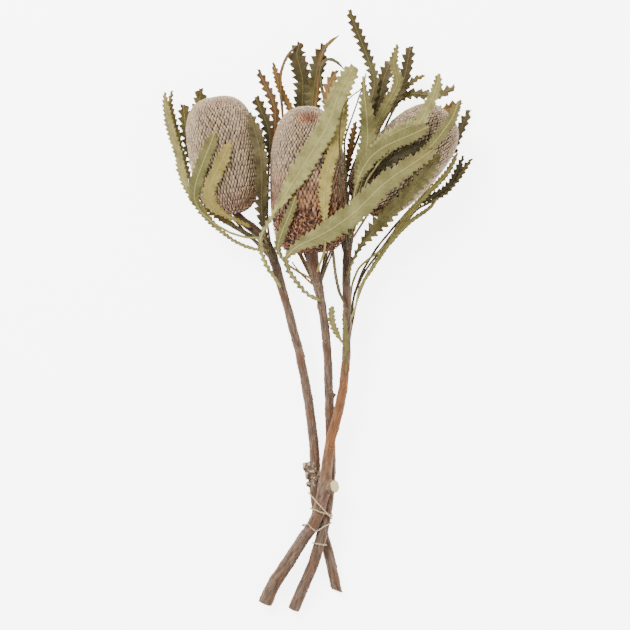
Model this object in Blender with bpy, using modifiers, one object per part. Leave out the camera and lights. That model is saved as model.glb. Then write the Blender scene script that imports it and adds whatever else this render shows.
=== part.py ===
"""A tied bunch of three dried banksia flower spikes, lying on its side.

Run with: blender --background --python part.py

Sheet coordinates are millimetres seen from above: x to the right and y down the
bunch, from the tips to the cut ends. Heights are millimetres above the surface.
"""
import math
from collections import namedtuple

import bmesh
import bpy
import numpy as np
from mathutils import Vector
from mathutils.geometry import convex_hull_2d

NAME = "banksia_bunch"
MM = 0.001
SHEET_CENTRE = (317.4, 311.2)
SHEET_SIZE = 640

# Flower heads
FLORET_COLUMNS = 28
FLORET_ROWS = 22
FLORET_RELIEF = 1.8
FLORET_LEAN = 1.2

# Stems and twine
STEM_STEP = 13.0
STEM_GAP = 0.6
TIE_GAP = 1.9
TWINE_RADIUS = 0.6
TWINE_CLEAR = 0.35
TWINE_STEP = 3.2

# Leaves
BLADE_THICKNESS = 0.9
LEAF_GAP = 0.45
BARE_HALF = 1.65
FOOT_HALF = 1.1
FOOT_END = 0.10
TOOTH_PITCH = 13.0
PETIOLE_STEP = 22.0
TWIG_WIDTH = 3.0
NOTCH_DEPTH = 0.42
TOOTH_LEAN = 0.45
BLADE_FOLD = 0.12
DIP_AT = 0.13
RISE_AT = 0.74
SOFTEN = 9
FINE_STEP = 1.5

Head = namedtuple("Head", "name base top width height widest top_full base_full")
Stem = namedtuple("Stem", "name colour route")
Leaf = namedtuple("Leaf", "name colour behind width neck roll heights route stalk fade blunt",
                  defaults=(1.1, 0.78, 0.55))

# Base and top on the sheet, width, height of the axis, and the outline: where it is widest,
# as a share of its length from the top, and how full its two ends are.
HEADS = [
    Head("head_left", (233, 213), (215, 98), 67, 32.6, 0.42, 2.8, 2.7),
    Head("head_middle", (311.5, 252), (305, 108), 74, 46.2, 0.62, 2.6, 3.8),
    Head("head_right", (361, 207.5), (446.5, 113.5), 70, 34.1, 0.50, 2.6, 2.6),
]

# Each row is x, y, height and radius. A stem is lifted over the stems before it.
STEMS = [
    Stem("stem_left", (0.33, 0.26, 0.20, 1), [
        (237, 217.4, 32.6, 4.2), (242, 220, 32.6, 4.6), (249, 225, 32.4, 4.9),
        (257, 231.5, 32, 5.2), (265, 240.5, 31.5, 5.2), (271.5, 252, 31, 5.2), (276.5, 268, 29.8, 5.0),
        (280.5, 284, 28.2, 4.8), (285.5, 300, 26.5, 4.7), (293, 329, 23, 4.7),
        (300, 355, 20, 4.8), (306, 386, 16.5, 5.0), (310.5, 415, 13, 5.1), (314, 443, 10.5, 5.2),
        (315, 466, 9.2, 5.5), (315, 500, 9.2, 5.5), (322, 530, 9, 5.4), (330, 560, 7.4, 5.5),
        (337, 592, 5.5, 5.5)]),
    Stem("stem_middle", (0.35, 0.29, 0.23, 1), [
        (311.6, 254.0, 46.2, 6.4), (312.5, 262, 46, 6.4), (316.3, 276, 44, 5.4), (320.5, 298, 40, 4.8),
        (325.4, 329, 34, 4.6), (327.7, 357, 29, 4.6), (329, 392, 22, 4.8), (330, 420, 16, 5.0),
        (330.6, 443, 12.5, 5.2), (331, 472, 11.5, 5.4), (328, 505, 13.5, 5.6), (323, 532, 21, 5.8),
        (313, 566, 14, 5.9), (293, 611, 6.1, 6.1)]),
    Stem("stem_right", (0.40, 0.25, 0.16, 1), [
        (359.7, 208.9, 34.1, 4.2), (353.5, 216, 34.2, 4.5), (349, 234, 34.5, 4.9),
        (347, 255, 34.6, 4.8), (346.3, 275, 34.3, 4.6), (346.7, 300, 33, 4.4),
        (347, 323, 32, 4.4), (346.7, 346, 30, 4.5), (345.5, 369, 28, 4.7),
        (342.7, 392, 26, 5.0), (338, 415, 25, 5.2), (331, 438, 24, 5.4),
        (326.6, 466, 23.5, 6.0), (325, 487, 24.5, 7.0), (320, 507, 23, 6.3), (315, 523, 21, 6.3),
        (302, 541, 18, 6.6), (287.5, 564, 14, 6.9), (272, 587, 10, 7.3), (264.7, 605, 7.6, 7.4)]),
]

# Leaf scars and cut shoots: where they start, where they end, and the two radii.
SCARS = {
    "stem_left": [((312, 467, 10), (303, 467, 11), 5.2, 4.2),
                  ((312, 475, 10), (305.5, 476, 11), 5.0, 4.2),
                  ((312, 483, 9.5), (306, 485.5, 9.5), 3.6, 2.6),
                  ((314, 471, 11), (312, 470, 16.8), 4.6, 3.6),
                  ((316, 479, 11), (316.5, 480, 16.3), 3.8, 3.0)],
    "stem_middle": [((329, 400, 20), (336, 394, 22), 2.2, 1.6)],
    "stem_right": [((327, 487.5, 26), (334.8, 486.2, 34.6), 7.2, 7.0)],
}

# Left and right end of each turn on the sheet.
TWINE_TURNS = {
    "twine_turn_two": ((307, 507.5), (332, 516)),
    "twine_turn_one": ((303, 487), (332, 519)),
    "twine_turn_three": ((308, 527), (332, 523)),
}
TWINE_RING = ((313, 543.5), (327, 545.5))

PALE = (0.52, 0.52, 0.34, 1)
OLIVE = (0.24, 0.22, 0.10, 1)
BROWN = (0.28, 0.17, 0.09, 1)

# Leaves from the lowest up. Width is the blade's and neck is the share of the length that is
# stalk. Heights are those at the root, along the middle and at the tip, where nothing is in the
# way. A leaf behind the heads keeps its middle height from DIP_AT to RISE_AT of its length. Stalk
# is half the stalk's width past its thin foot, and the blade narrows from fade on, by the share
# blunt at its tip.
LEAVES = [
    Leaf("leaf_left_gap_dark", OLIVE, True, 14, 0.62, 0, (21, 2.5, 6), [
        (281.6, 289), (272, 258), (267, 222), (267.5, 190), (269, 160), (270, 138), (266.5, 121),
        (260.5, 109), (255.5, 96)], 1.1, 0.85, 0.25),
    Leaf("leaf_left_back_top", OLIVE, True, 15, 0.72, 0, (23, 2.5, 12), [
        (277.6, 272), (270, 258), (257, 244), (238, 224), (222, 205), (206, 188), (196, 165),
        (192, 140), (194, 116), (200, 99), (200, 88)], 1.1, 0.8, 0.35),
    Leaf("leaf_left_back_blunt", OLIVE, True, 15.5, 0.60, 0, (24, 4, 12), [
        (275, 263), (266, 250), (253, 238), (236, 226), (215, 209), (200, 190), (193, 165),
        (189, 145), (185.5, 128), (183, 104)], 1.1, 0.85, 0.25),
    Leaf("leaf_left_edge", OLIVE, True, 9, 0.45, 10, (25, 8, 18), [
        (272, 254), (258, 243), (240, 231), (219, 219), (202, 202), (193, 187), (187, 172),
        (183, 158), (179, 146), (176, 130), (172, 116), (169, 103), (172, 90)]),
    Leaf("leaf_left_slip", OLIVE, True, 8.5, 0.45, 0, (26, 20, 16), [
        (266.5, 243), (250, 234), (232, 224), (216, 215), (204, 207)]),
    Leaf("leaf_middle_back_left", OLIVE, True, 21, 0.62, 0, (28, 2.5, 22), [
        (325, 331), (321, 300), (308, 262), (291, 218), (288, 180), (292, 150), (298, 128),
        (302, 110), (303, 95), (303, 80), (300, 66), (296, 54), (300, 42)], 1.1, 0.8, 0.4),
    Leaf("leaf_middle_back_right", OLIVE, True, 18, 0.64, 0, (30, 2.5, 24), [
        (323.5, 321), (321, 285), (325, 250), (327, 210), (325, 170), (318, 135), (313, 112),
        (313, 98), (315, 83), (317, 70), (319, 57), (324, 44)], 1.1, 0.8, 0.4),
    Leaf("leaf_left_back_tall", PALE, True, 8.5, 0.64, 0, (31.5, 3, 24), [
        (321.8, 311), (314, 280), (301, 254), (291, 225), (289, 190), (291, 150), (293, 125),
        (291, 109), (285, 98), (280, 88), (276.5, 76), (273, 62)]),
    Leaf("leaf_left_arched_tip", BROWN, True, 3.2, 0.7, 0, (32, 3, 22), [
        (321, 305), (310, 276), (297, 250), (284, 222), (280, 190), (281, 150), (283, 120),
        (281, 95), (280, 76), (283, 64), (288, 54), (296, 45)]),
    Leaf("leaf_middle_thin_tip", PALE, True, 4.5, 0.66, 0, (33, 3, 24), [
        (320.5, 301), (316, 270), (313, 238), (312, 200), (312, 160), (313, 125), (317, 95),
        (319, 72), (321, 54), (328, 43), (339, 35)]),
    Leaf("leaf_middle_arched_tip", OLIVE, True, 3.6, 0.66, 0, (34.5, 4, 22), [
        (319.5, 292), (322, 268), (332, 238), (334, 200), (332, 150), (328, 112), (322, 88),
        (319, 71), (323, 60), (331, 58), (338, 62), (344, 69)]),
    Leaf("leaf_middle_back_small", BROWN, True, 13, 0.76, 0, (36, 6, 22), [
        (318.5, 283), (326, 262), (337, 236), (340, 205), (338, 165), (333, 125), (328, 105),
        (327, 91), (332, 79), (337, 70)]),
    Leaf("leaf_left_gap_brown", BROWN, True, 11.5, 0.56, 0, (37, 4, 22), [
        (316.5, 274), (302, 258), (281, 232), (273, 205), (271, 165), (274, 137), (276, 113),
        (273, 101), (268, 90.6), (263, 80), (258, 69)]),
    Leaf("leaf_right_back_tip", OLIVE, True, 11, 0.77, 0, (24, 2.5, 4), [
        (347.5, 360), (351, 325), (354, 295), (363, 270), (378, 246), (399, 221), (423, 195),
        (441, 171), (453, 151), (458, 137), (464, 122), (470, 109)], 1.1, 0.85, 0.3),
    Leaf("leaf_right_outer_small", BROWN, True, 8, 0.70, 10, (25, 3, 9), [
        (348, 350), (352, 325), (357, 300), (366, 278), (385, 251), (403, 226), (418, 208),
        (430, 202), (440, 196), (448, 190), (456, 181), (463, 171), (468, 163), (473, 158)]),
    Leaf("leaf_right_outer_brown", BROWN, True, 9, 0.60, 10, (25.5, 4, 9), [
        (348, 340), (350, 318), (354, 296), (363, 274), (382, 248), (400, 223), (414, 206),
        (425, 200), (437, 194), (445, 189), (452, 182), (458, 170), (464, 155)]),
    Leaf("leaf_right_under_edge", PALE, True, 7.5, 0.38, 8, (26.5, 5, 13), [
        (348.5, 329), (350, 305), (352, 284), (359, 267), (371, 257), (380, 251), (389, 243),
        (397, 230), (406, 217), (417, 204), (425, 195), (435, 186), (445, 176), (452, 165),
        (458, 152)]),
    Leaf("leaf_right_back_end", BROWN, True, 14, 0.79, 0, (27, 2.5, 16), [
        (346.8, 318), (346.5, 285), (347.5, 255), (350, 236), (354, 216), (364, 188),
        (380, 155), (405, 124), (431, 113), (447, 110), (462, 102)], 1.1, 0.85, 0.3),
    Leaf("leaf_right_crown", OLIVE, True, 12, 0.62, 0, (27.5, 2.5, 24), [
        (346.5, 308), (346, 280), (347, 258), (349, 236), (351, 216), (357, 190), (370, 158),
        (380, 128), (386, 109), (395, 98), (407, 93), (418, 93), (430, 95), (443, 93), (455, 86)],
        1.1, 0.85, 0.3),
    Leaf("leaf_right_back_small", OLIVE, True, 8, 0.78, 0, (28, 2.5, 22), [
        (346.5, 298), (346, 270), (348, 240), (349, 218), (353, 192), (366, 163), (382, 134),
        (394, 108), (404, 89), (414, 79), (425, 75)]),
    Leaf("leaf_right_back_olive", OLIVE, True, 14.5, 0.71, 0, (28.5, 3, 26), [
        (346.3, 288), (346, 262), (347, 236), (347, 214), (349, 192), (360, 164), (374, 138),
        (389, 112), (400, 90), (406, 74), (408, 60), (411, 46)], 1.1, 0.85, 0.25),
    Leaf("leaf_right_back_dark", OLIVE, True, 16, 0.64, 0, (29, 4, 22), [
        (346.2, 278), (346, 252), (345, 224), (345, 195), (353, 165), (366, 138), (376, 112),
        (381, 94), (384, 78), (391, 60)], 1.1, 0.85, 0.25),
    Leaf("leaf_right_tall", OLIVE, True, 13, 0.50, 8, (28.4, 6, 36), [
        (346.2, 268), (345, 250), (342, 226), (341, 198), (347, 165), (358, 138), (368, 110),
        (374, 92), (375, 80), (372, 68), (367, 55), (362, 42), (356, 28), (349, 10)], 1.1, 0.8, 0.35),
    Leaf("leaf_right_rust", BROWN, True, 9, 0.52, 0, (28.4, 10, 22), [
        (345.2, 257), (341.2, 241), (341, 216), (344.5, 190), (347.5, 170), (350, 150), (353, 134),
        (356, 121)]),
    Leaf("leaf_right_long", PALE, False, 5.5, 0.10, 20, (31, 22, 26), [
        (351, 319), (355, 309), (357, 300), (359, 289), (365, 279), (374, 265), (385, 249),
        (393, 239), (403, 228), (412, 220), (422, 213), (430, 208), (437, 199)]),
    Leaf("leaf_left_outer", PALE, False, 11.5, 0.16, 25, (34, 26, 26), [
        (270, 251), (258, 250), (244, 246), (231, 239), (217, 228), (205, 215), (195, 200),
        (186, 185), (181, 170), (179, 157), (175, 143), (170.5, 130), (167.5, 117), (165.5, 104),
        (164.5, 92)], 2.4),
    Leaf("leaf_left_stalk", BROWN, False, 2.4, 0.0, 0, (37.5, 40, 36), [
        (263, 240.5), (254, 234), (245, 227.5), (236, 220)]),
    Leaf("leaf_left_gap_olive", OLIVE, False, 19, 0.12, -28, (35, 48, 48), [
        (275, 262), (267.5, 244), (263, 224), (262, 205), (262.5, 185), (262.5, 165),
        (259.5, 147), (255, 130), (250, 113)], 3.6),
    Leaf("leaf_left_front_edge", PALE, False, 16, 0.40, 0, (36, 50, 62), [
        (262, 238), (247, 238), (230, 233), (213, 223), (200, 211), (194, 199), (196, 184),
        (202, 167), (209, 150), (215.5, 133)]),
    Leaf("leaf_left_front", PALE, False, 15, 0.18, 0, (38, 60, 68), [
        (251, 227), (240, 222), (226, 215.5), (213, 207), (208.5, 195), (213, 181), (220, 167),
        (226, 154), (230, 143)], 3.3),
    Leaf("leaf_middle_narrow", PALE, False, 11, 0.30, 0, (46, 58, 78), [
        (312, 279), (298, 272), (284, 262), (277, 249), (281, 236), (286, 224), (291, 212),
        (296, 197)]),
    Leaf("leaf_middle_front_right", PALE, False, 15, 0.18, -8, (48, 80, 84), [
        (317, 272), (325, 250), (325, 222), (324, 205), (325, 190), (327, 174), (331, 160),
        (336, 146), (340, 130), (343, 113), (345, 98)]),
    Leaf("leaf_middle_front", PALE, False, 23, 0.30, 6, (36, 68, 88), [
        (281, 287), (271, 273), (263, 259), (260, 245), (263, 232), (271, 219), (280, 205),
        (289, 190), (297, 177), (306, 163), (314, 150), (322, 137), (329, 124), (334, 109),
        (339, 95), (346, 82), (354, 68)], 3.4, 0.78, 0.3),
    Leaf("leaf_right_twig", BROWN, False, 2.6, 0.0, 0, (40, 60, 50), [
        (348, 244), (348, 205), (345, 170), (344, 142), (348, 129), (352, 118), (356, 107),
        (359, 97), (363, 87), (366, 74)]),
    Leaf("leaf_right_twig_short", BROWN, False, 2.2, 0.0, 0, (40, 66, 56), [
        (347, 250), (343, 215), (340, 175), (339, 135), (341, 114), (345, 104), (352, 97),
        (361, 91)]),
    Leaf("leaf_right_shadow", OLIVE, False, 12, 0.30, 0, (42, 60, 70), [
        (352, 232), (353, 214), (357, 196), (364, 180), (380, 166), (402, 154), (428, 143)]),
    Leaf("leaf_right_gap_tall", PALE, False, 12, 0.24, -6, (42, 54, 54), [
        (350, 238), (354, 207), (360, 172), (368, 143), (373, 131), (379, 119), (385, 108),
        (391, 97), (397, 87), (398, 79), (395, 71), (393, 62), (395, 54), (397, 45)]),
    Leaf("leaf_right_gap_pale", PALE, False, 20, 0.14, 6, (42, 50, 46), [
        (350, 226), (352, 208), (356, 190), (361, 172), (365, 156), (368, 141), (367, 126),
        (366, 112), (364, 98), (363, 78)], 1.1, 0.42, 0.82),
    Leaf("leaf_right_front_upper", PALE, False, 14, 0.34, 0, (44, 66, 74), [
        (352, 232), (357, 200), (364, 172), (374, 151), (386, 139), (398, 132), (411, 127),
        (425, 117)]),
    Leaf("leaf_right_front_rise", PALE, False, 13, 0.48, -6, (44, 74, 74), [
        (354, 232), (358, 206), (367, 180), (381, 160), (398, 146), (412, 134), (421, 122), (427, 109),
        (433, 97), (437, 86), (438, 75)]),
    Leaf("leaf_right_front_end", PALE, False, 13, 0.46, 0, (44, 74, 68), [
        (353, 238), (373, 206), (402, 174), (431, 147), (443, 132), (452, 119), (458, 103)]),
    Leaf("leaf_right_broad", OLIVE, False, 19, 0.16, -8, (38, 56, 68), [
        (346, 284), (350, 266), (359, 248), (373, 230), (389, 213), (404, 198), (418, 183),
        (431, 168), (439, 155)], 3.2),
    Leaf("leaf_right_front_zigzag", PALE, False, 17, 0.24, 4, (44, 74, 78), [
        (353, 228), (353, 208), (355, 190), (361, 172), (371, 157), (384, 147.5), (400, 140.5),
        (415, 134), (428, 128)]),
    Leaf("leaf_middle_slip", BROWN, False, 2.6, 0.0, 0, (47, 52, 54), [
        (321, 282), (326, 268), (331, 257), (334, 247)]),
    Leaf("leaf_middle_stalk", BROWN, False, 2.4, 0.0, 0, (47, 52, 54), [
        (312, 284), (302, 275), (296, 268), (292, 262)]),
    Leaf("leaf_right_low", PALE, False, 8.5, 0.10, 0, (36, 34, 34), [
        (345, 346), (336, 333), (331, 319), (332, 306)]),
    Leaf("leaf_right_low_thin", OLIVE, False, 3.4, 0.0, 0, (38, 38, 40), [
        (346, 306), (339, 292), (336, 278), (334, 264), (333, 249)]),
    Leaf("leaf_right_scale", PALE, False, 6, 0.0, 0, (34, 36, 38), [
        (346, 374), (346.5, 358), (346, 342), (345, 326), (344, 312)]),
    Leaf("leaf_middle_front_large", PALE, False, 25, 0.20, 0, (44, 84, 84), [
        (321, 301), (308, 295), (297, 283), (288, 270), (285, 258), (297, 247), (312, 240),
        (328, 232), (343, 222), (356, 212), (369, 199), (381, 187), (395, 176), (409, 167),
        (421, 159), (433, 150)], 3.6, 0.40, 0.45),
]


def clear_scene():
    for thing in list(bpy.data.objects):
        bpy.data.objects.remove(thing, do_unlink=True)


def add_collection(name):
    group = bpy.data.collections.new(name)
    bpy.context.scene.collection.children.link(group)
    return group


def add_material(name, colour, roughness):
    material = bpy.data.materials.new(name)
    material.use_nodes = True
    shader = material.node_tree.nodes["Principled BSDF"]
    shader.inputs["Base Color"].default_value = colour
    shader.inputs["Roughness"].default_value = roughness
    return material


def metres(x, y, z):
    """A point of the sheet, in the part's own frame."""
    return Vector(((x - SHEET_CENTRE[0]) * MM, (SHEET_CENTRE[1] - y) * MM, z * MM))


def add_object(name, mesh, collection, material):
    mesh.materials.clear()
    mesh.materials.append(material)
    part = bpy.data.objects.new(name, mesh)
    collection.objects.link(part)
    return part


def from_bmesh(shape, name):
    mesh = bpy.data.meshes.new(name)
    shape.to_mesh(mesh)
    shape.free()
    return mesh


def even_points(line, step):
    """The same line with evenly spaced points, about a step apart on the sheet."""
    run = np.concatenate([[0], np.cumsum(np.hypot(np.diff(line[:, 0]), np.diff(line[:, 1])))])
    places = np.linspace(0, run[-1], max(2, round(run[-1] / step)) + 1)
    return np.column_stack([np.interp(places, run, column) for column in line.T])


def smooth_route(points, step):
    """A soft curve along hand-picked points, which keeps both ends where they are."""
    line = even_points(np.array(points, float), 1.0)
    half = min(SOFTEN, len(line) - 2)
    before = 2 * line[0] - line[half:0:-1]
    after = 2 * line[-1] - line[-2:-half - 2:-1]
    weights = np.hanning(2 * half + 3)[1:-1]
    padded = np.vstack([before, line, after])
    columns = [np.convolve(column, weights / weights.sum(), "valid") for column in padded.T]
    return even_points(np.column_stack(columns), step)


# Flower heads

def head_profile(head):
    """Distance from the top and radius, at evenly spaced places along the outline."""
    length = math.dist(head.base, head.top)
    share = 0.5 * (1 - np.cos(np.linspace(0, math.pi, 400)))
    above = np.clip(1 - share / head.widest, 0, 1) ** head.top_full
    below = np.clip((share - head.widest) / (1 - head.widest), 0, 1) ** head.base_full
    radius = head.width / 2 * (1 - above) ** (1 / head.top_full) * (1 - below) ** (1 / head.base_full)
    line = np.column_stack([share * length, radius])
    run = np.concatenate([[0], np.cumsum(np.hypot(*np.diff(line, axis=0).T))])
    places = np.linspace(0, run[-1], FLORET_ROWS + 1)
    return np.column_stack([np.interp(places, run, column) for column in line.T])


def add_head(head, collection):
    """A barrel whose skin is a diamond lattice of floret tips, flat where it lies."""
    profile = head_profile(head)
    top = Vector((*head.top, head.height))
    axis = (Vector((*head.base, head.height)) - top).normalized()
    side = axis.cross(Vector((0, 0, 1)))
    shape = bmesh.new()
    bmesh.ops.create_uvsphere(shape, u_segments=FLORET_COLUMNS, v_segments=FLORET_ROWS, radius=1)
    raised = set()
    for vertex in shape.verts:
        polar = math.acos(max(-1, min(1, vertex.co.z)))
        turn = math.atan2(vertex.co.y, vertex.co.x)
        row = round(polar / math.pi * FLORET_ROWS)
        column = round(turn / math.tau * FLORET_COLUMNS)
        along, radius = profile[row]
        if 0 < row < FLORET_ROWS - 1 and (row + column) % 2 == 0:
            raised.add(vertex)
            radius += FLORET_RELIEF
            along -= FLORET_LEAN
        spot = top + axis * along + side * (radius * math.cos(turn))
        vertex.co = metres(spot.x, spot.y, max(0, head.height + radius * math.sin(turn)))
    for face in list(shape.faces):
        low = [vertex for vertex in face.verts if vertex not in raised]
        if len(face.verts) == 4 and len(low) == 2:
            bmesh.utils.face_split(face, low[0], low[1])
    bmesh.ops.triangulate(shape, faces=shape.faces[:])
    bmesh.ops.recalc_face_normals(shape, faces=shape.faces[:])
    skin = add_material(head.name, (0.50, 0.43, 0.36, 1), 0.95)
    add_object(head.name, from_bmesh(shape, head.name), collection, skin)


# Stems and twine

def stem_routes():
    """Each stem's route, lifted where it crosses the stems that lie below it."""
    placed = []
    for stem in STEMS:
        route = smooth_route(stem.route, 2.0)
        for lower in placed:
            gap = TIE_GAP if stem.name == "stem_middle" else STEM_GAP
            for point in route:
                apart = np.hypot(lower[:, 0] - point[0], lower[:, 1] - point[1])
                reach = lower[:, 3] + point[3] + gap
                near = apart < reach
                if near.any():
                    rise = np.sqrt(reach[near] ** 2 - apart[near] ** 2)
                    point[2] = max(point[2], (lower[near, 2] + rise).max())
        lifted = route[:, 2].copy()
        for _ in range(60):
            middle = (route[:-2, 2] + route[2:, 2]) / 2
            route[1:-1, 2] = np.maximum(lifted[1:-1], 0.5 * (route[1:-1, 2] + middle))
        placed.append(route)
    return placed


def tube_mesh(name, points, cyclic=False):
    """A POLY curve with a round bevel, turned into a closed mesh. Points hold x, y, z, radius."""
    curve = bpy.data.curves.new(name, "CURVE")
    curve.dimensions = "3D"
    curve.bevel_depth = MM
    curve.bevel_resolution = 1 if cyclic else 2
    curve.use_fill_caps = not cyclic
    spline = curve.splines.new("POLY")
    spline.points.add(len(points) - 1)
    spline.use_cyclic_u = cyclic
    for target, point in zip(spline.points, points):
        target.co = (*metres(*point[:3]), 1)
        target.radius = point[3]
    holder = bpy.data.objects.new(name + "_curve", curve)
    mesh = bpy.data.meshes.new_from_object(holder)
    bpy.data.objects.remove(holder)
    bpy.data.curves.remove(curve)
    mesh.name = name
    shape = bmesh.new()
    shape.from_mesh(mesh)
    bmesh.ops.remove_doubles(shape, verts=shape.verts[:], dist=1e-6)
    bmesh.ops.triangulate(shape, faces=shape.faces[:])
    bmesh.ops.recalc_face_normals(shape, faces=shape.faces[:])
    shape.to_mesh(mesh)
    shape.free()
    return mesh


def add_stem(stem, route, collection, cutters):
    """A woody stem, with its scars and sawn shoots joined on by one union."""
    wood = add_material(stem.name, stem.colour, 0.9)
    trunk = add_object(stem.name, tube_mesh(stem.name, even_points(route, STEM_STEP)), collection, wood)
    scars = SCARS[stem.name]
    for number, (start, end, wide, narrow) in enumerate(scars):
        first = metres(*start)
        last = metres(*end)
        shape = bmesh.new()
        bmesh.ops.create_cone(shape, cap_ends=True, segments=9, radius1=wide * MM,
                              radius2=narrow * MM, depth=(last - first).length)
        scar = bpy.data.objects.new(f"{stem.name}_scar_{number}", from_bmesh(shape, stem.name + "_scar"))
        scar.location = (first + last) / 2
        scar.rotation_mode = "QUATERNION"
        scar.rotation_quaternion = (last - first).to_track_quat("Z", "Y")
        cutters.objects.link(scar)
    if not scars:
        return
    group = bpy.data.collections.new(stem.name + "_scars")
    for scar in list(cutters.objects):
        group.objects.link(scar)
        cutters.objects.unlink(scar)
    cutters.children.link(group)
    union = trunk.modifiers.new("scars", "BOOLEAN")
    union.operation = "UNION"
    union.operand_type = "COLLECTION"
    union.collection = group
    union.solver = "EXACT"
    bpy.context.view_layer.update()
    joined = bpy.data.meshes.new_from_object(trunk.evaluated_get(bpy.context.evaluated_depsgraph_get()))
    trunk.modifiers.clear()
    trunk.data = joined
    for scar in list(group.objects):
        bpy.data.objects.remove(scar)
    bpy.data.collections.remove(group)


def turn_points(ends, wires):
    """A taut closed turn of twine in the upright plane through its ends, round all the wires."""
    start = np.array(ends[0], float)
    run = np.array(ends[1], float) - start
    run /= np.linalg.norm(run)
    outline = []
    for wire in wires:
        for x, y, z, radius in even_points(wire, 0.5):
            offset = np.array((x, y)) - start
            away = abs(offset @ (-run[1], run[0]))
            reach = radius + TWINE_RADIUS + TWINE_CLEAR
            if away < reach:
                wide = math.sqrt(reach ** 2 - away ** 2)
                outline += [Vector((offset @ run + wide * math.cos(turn), z + wide * math.sin(turn)))
                            for turn in np.linspace(0, math.tau, 24, endpoint=False)]
    hull = np.array([outline[number] for number in convex_hull_2d(outline)])
    hull = np.vstack([hull, hull[:1]])
    around = np.concatenate([[0], np.cumsum(np.hypot(*np.diff(hull, axis=0).T))])
    places = np.linspace(0, around[-1], round(around[-1] / TWINE_STEP), endpoint=False)
    return [(start[0] + run[0] * along, start[1] + run[1] * along, height, TWINE_RADIUS)
            for along, height in zip(*(np.interp(places, around, column) for column in hull.T))]


def add_twine(routes, collection):
    fibre = add_material("twine", (0.78, 0.72, 0.56, 1), 0.9)
    wires = list(routes)
    for name, ends in TWINE_TURNS.items():
        points = turn_points(ends, wires)
        add_object(name, tube_mesh(name, points, cyclic=True), collection, fibre)
        wires.append(np.array(points + points[:1]))
    points = turn_points(TWINE_RING, routes[1:2])
    add_object("twine_ring", tube_mesh("twine_ring", points, cyclic=True), collection, fibre)


# Heights of the leaves

class Layers:
    """What has been laid so far, as heights in cells of one millimetre of the sheet."""

    def __init__(self):
        cells = (SHEET_SIZE, SHEET_SIZE)
        self.over = np.zeros(cells)
        self.low = np.zeros(cells)
        self.under = np.full(cells, 500.0)

    def lay_tube(self, points):
        for x, y, z, radius in even_points(np.array(points), 0.7):
            self.lay_disc(x, y, z, radius)

    def lay_disc(self, x, y, z, radius):
        reach = math.ceil(radius)
        for row in range(round(y) - reach, round(y) + reach + 1):
            for column in range(round(x) - reach, round(x) + reach + 1):
                left = radius ** 2 - (row - y) ** 2 - (column - x) ** 2
                if left > 0:
                    self.over[row, column] = max(self.over[row, column], z + math.sqrt(left))
                    self.under[row, column] = min(self.under[row, column], z - math.sqrt(left))

    def lay_head(self, head):
        profile = head_profile(head)
        rows, columns = np.mgrid[0:SHEET_SIZE, 0:SHEET_SIZE]
        axis = np.array(head.base, float) - head.top
        length = np.linalg.norm(axis)
        axis /= length
        along = (columns - head.top[0]) * axis[0] + (rows - head.top[1]) * axis[1]
        away = (columns - head.top[0]) * -axis[1] + (rows - head.top[1]) * axis[0]
        radius = np.interp(along + FLORET_LEAN / 2, *profile.T) + FLORET_RELIEF
        inside = (along > -FLORET_RELIEF) & (along < length + 1) & (np.abs(away) < radius)
        rise = np.sqrt(np.where(inside, radius ** 2 - away ** 2, 0))
        self.over = np.where(inside, np.maximum(self.over, head.height + rise), self.over)
        self.under = np.where(inside, np.minimum(self.under, head.height - rise), self.under)


def blade_half(leaf, share):
    """Half of the blade's width without its teeth, at a share of the leaf's length."""
    blade = np.clip((share - leaf.neck) / (1 - leaf.neck), 0, 1)
    rise = np.clip(blade / 0.35, 0, 1)
    end = np.clip((blade - leaf.fade) / (1 - leaf.fade), 0, 1)
    full = 3 * rise ** 2 - 2 * rise ** 3
    stalk = FOOT_HALF + (leaf.stalk - FOOT_HALF) * np.clip(share / FOOT_END, 0, 1)
    return (stalk + (leaf.width / 2 - stalk) * full) * (1 - leaf.blunt * end ** 2)


def blade_rise(leaf, across):
    """How far the blade stands over its midrib, at a distance across."""
    return across * math.tan(math.radians(leaf.roll)) + abs(across) * BLADE_FOLD


def stack_heights(leaf, line, layers):
    """Height of the midrib along the line, clear of everything laid before."""
    share = np.linspace(0, 1, len(line))
    ahead = np.gradient(line, axis=0)
    ahead /= np.linalg.norm(ahead, axis=1)[:, None]
    half = blade_half(leaf, share) * math.cos(math.radians(leaf.roll)) + 0.5
    floor_map = layers.low if leaf.behind else layers.over
    floor = np.zeros(len(line))
    ceiling = np.full(len(line), 500.0)
    steps = [(row, column) for row in (-1, 0, 1) for column in (-1, 0, 1)]
    for across in np.linspace(-1, 1, 13):
        x = np.rint(line[:, 0] - ahead[:, 1] * half * across).astype(int)
        y = np.rint(line[:, 1] + ahead[:, 0] * half * across).astype(int)
        rise = np.array([blade_rise(leaf, distance) for distance in half * across])
        for row, column in steps:
            floor = np.maximum(floor, floor_map[y + row, x + column] - rise)
            ceiling = np.minimum(ceiling, layers.under[y + row, x + column] - rise)
    pitch = TOOTH_PITCH if leaf.width > TWIG_WIDTH else PETIOLE_STEP
    reach = math.ceil(pitch / 2 / FINE_STEP)
    clear = BLADE_THICKNESS / 2 + LEAF_GAP
    spans = [slice(max(0, spot - reach), spot + reach + 1) for spot in range(len(line))]
    need = np.array([floor[span].max() for span in spans]) + clear
    limit = np.array([ceiling[span].min() for span in spans]) - clear
    if not leaf.behind:
        limit = np.full(len(line), 500.0)
    start, middle, end = leaf.heights
    if leaf.behind:
        heights = np.interp(share, (0, DIP_AT, RISE_AT, 1), (start, middle, middle, end))
    else:
        heights = np.interp(share, (0, 0.5, 1), leaf.heights)
    for _ in range(260):
        heights = np.maximum(need, np.minimum(limit, heights))
        heights[1:-1] = 0.5 * heights[1:-1] + 0.25 * (heights[:-2] + heights[2:])
    heights = np.maximum(need, np.minimum(limit, heights))
    lay_leaf(leaf, line, ahead, half, heights, layers)
    return heights


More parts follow.
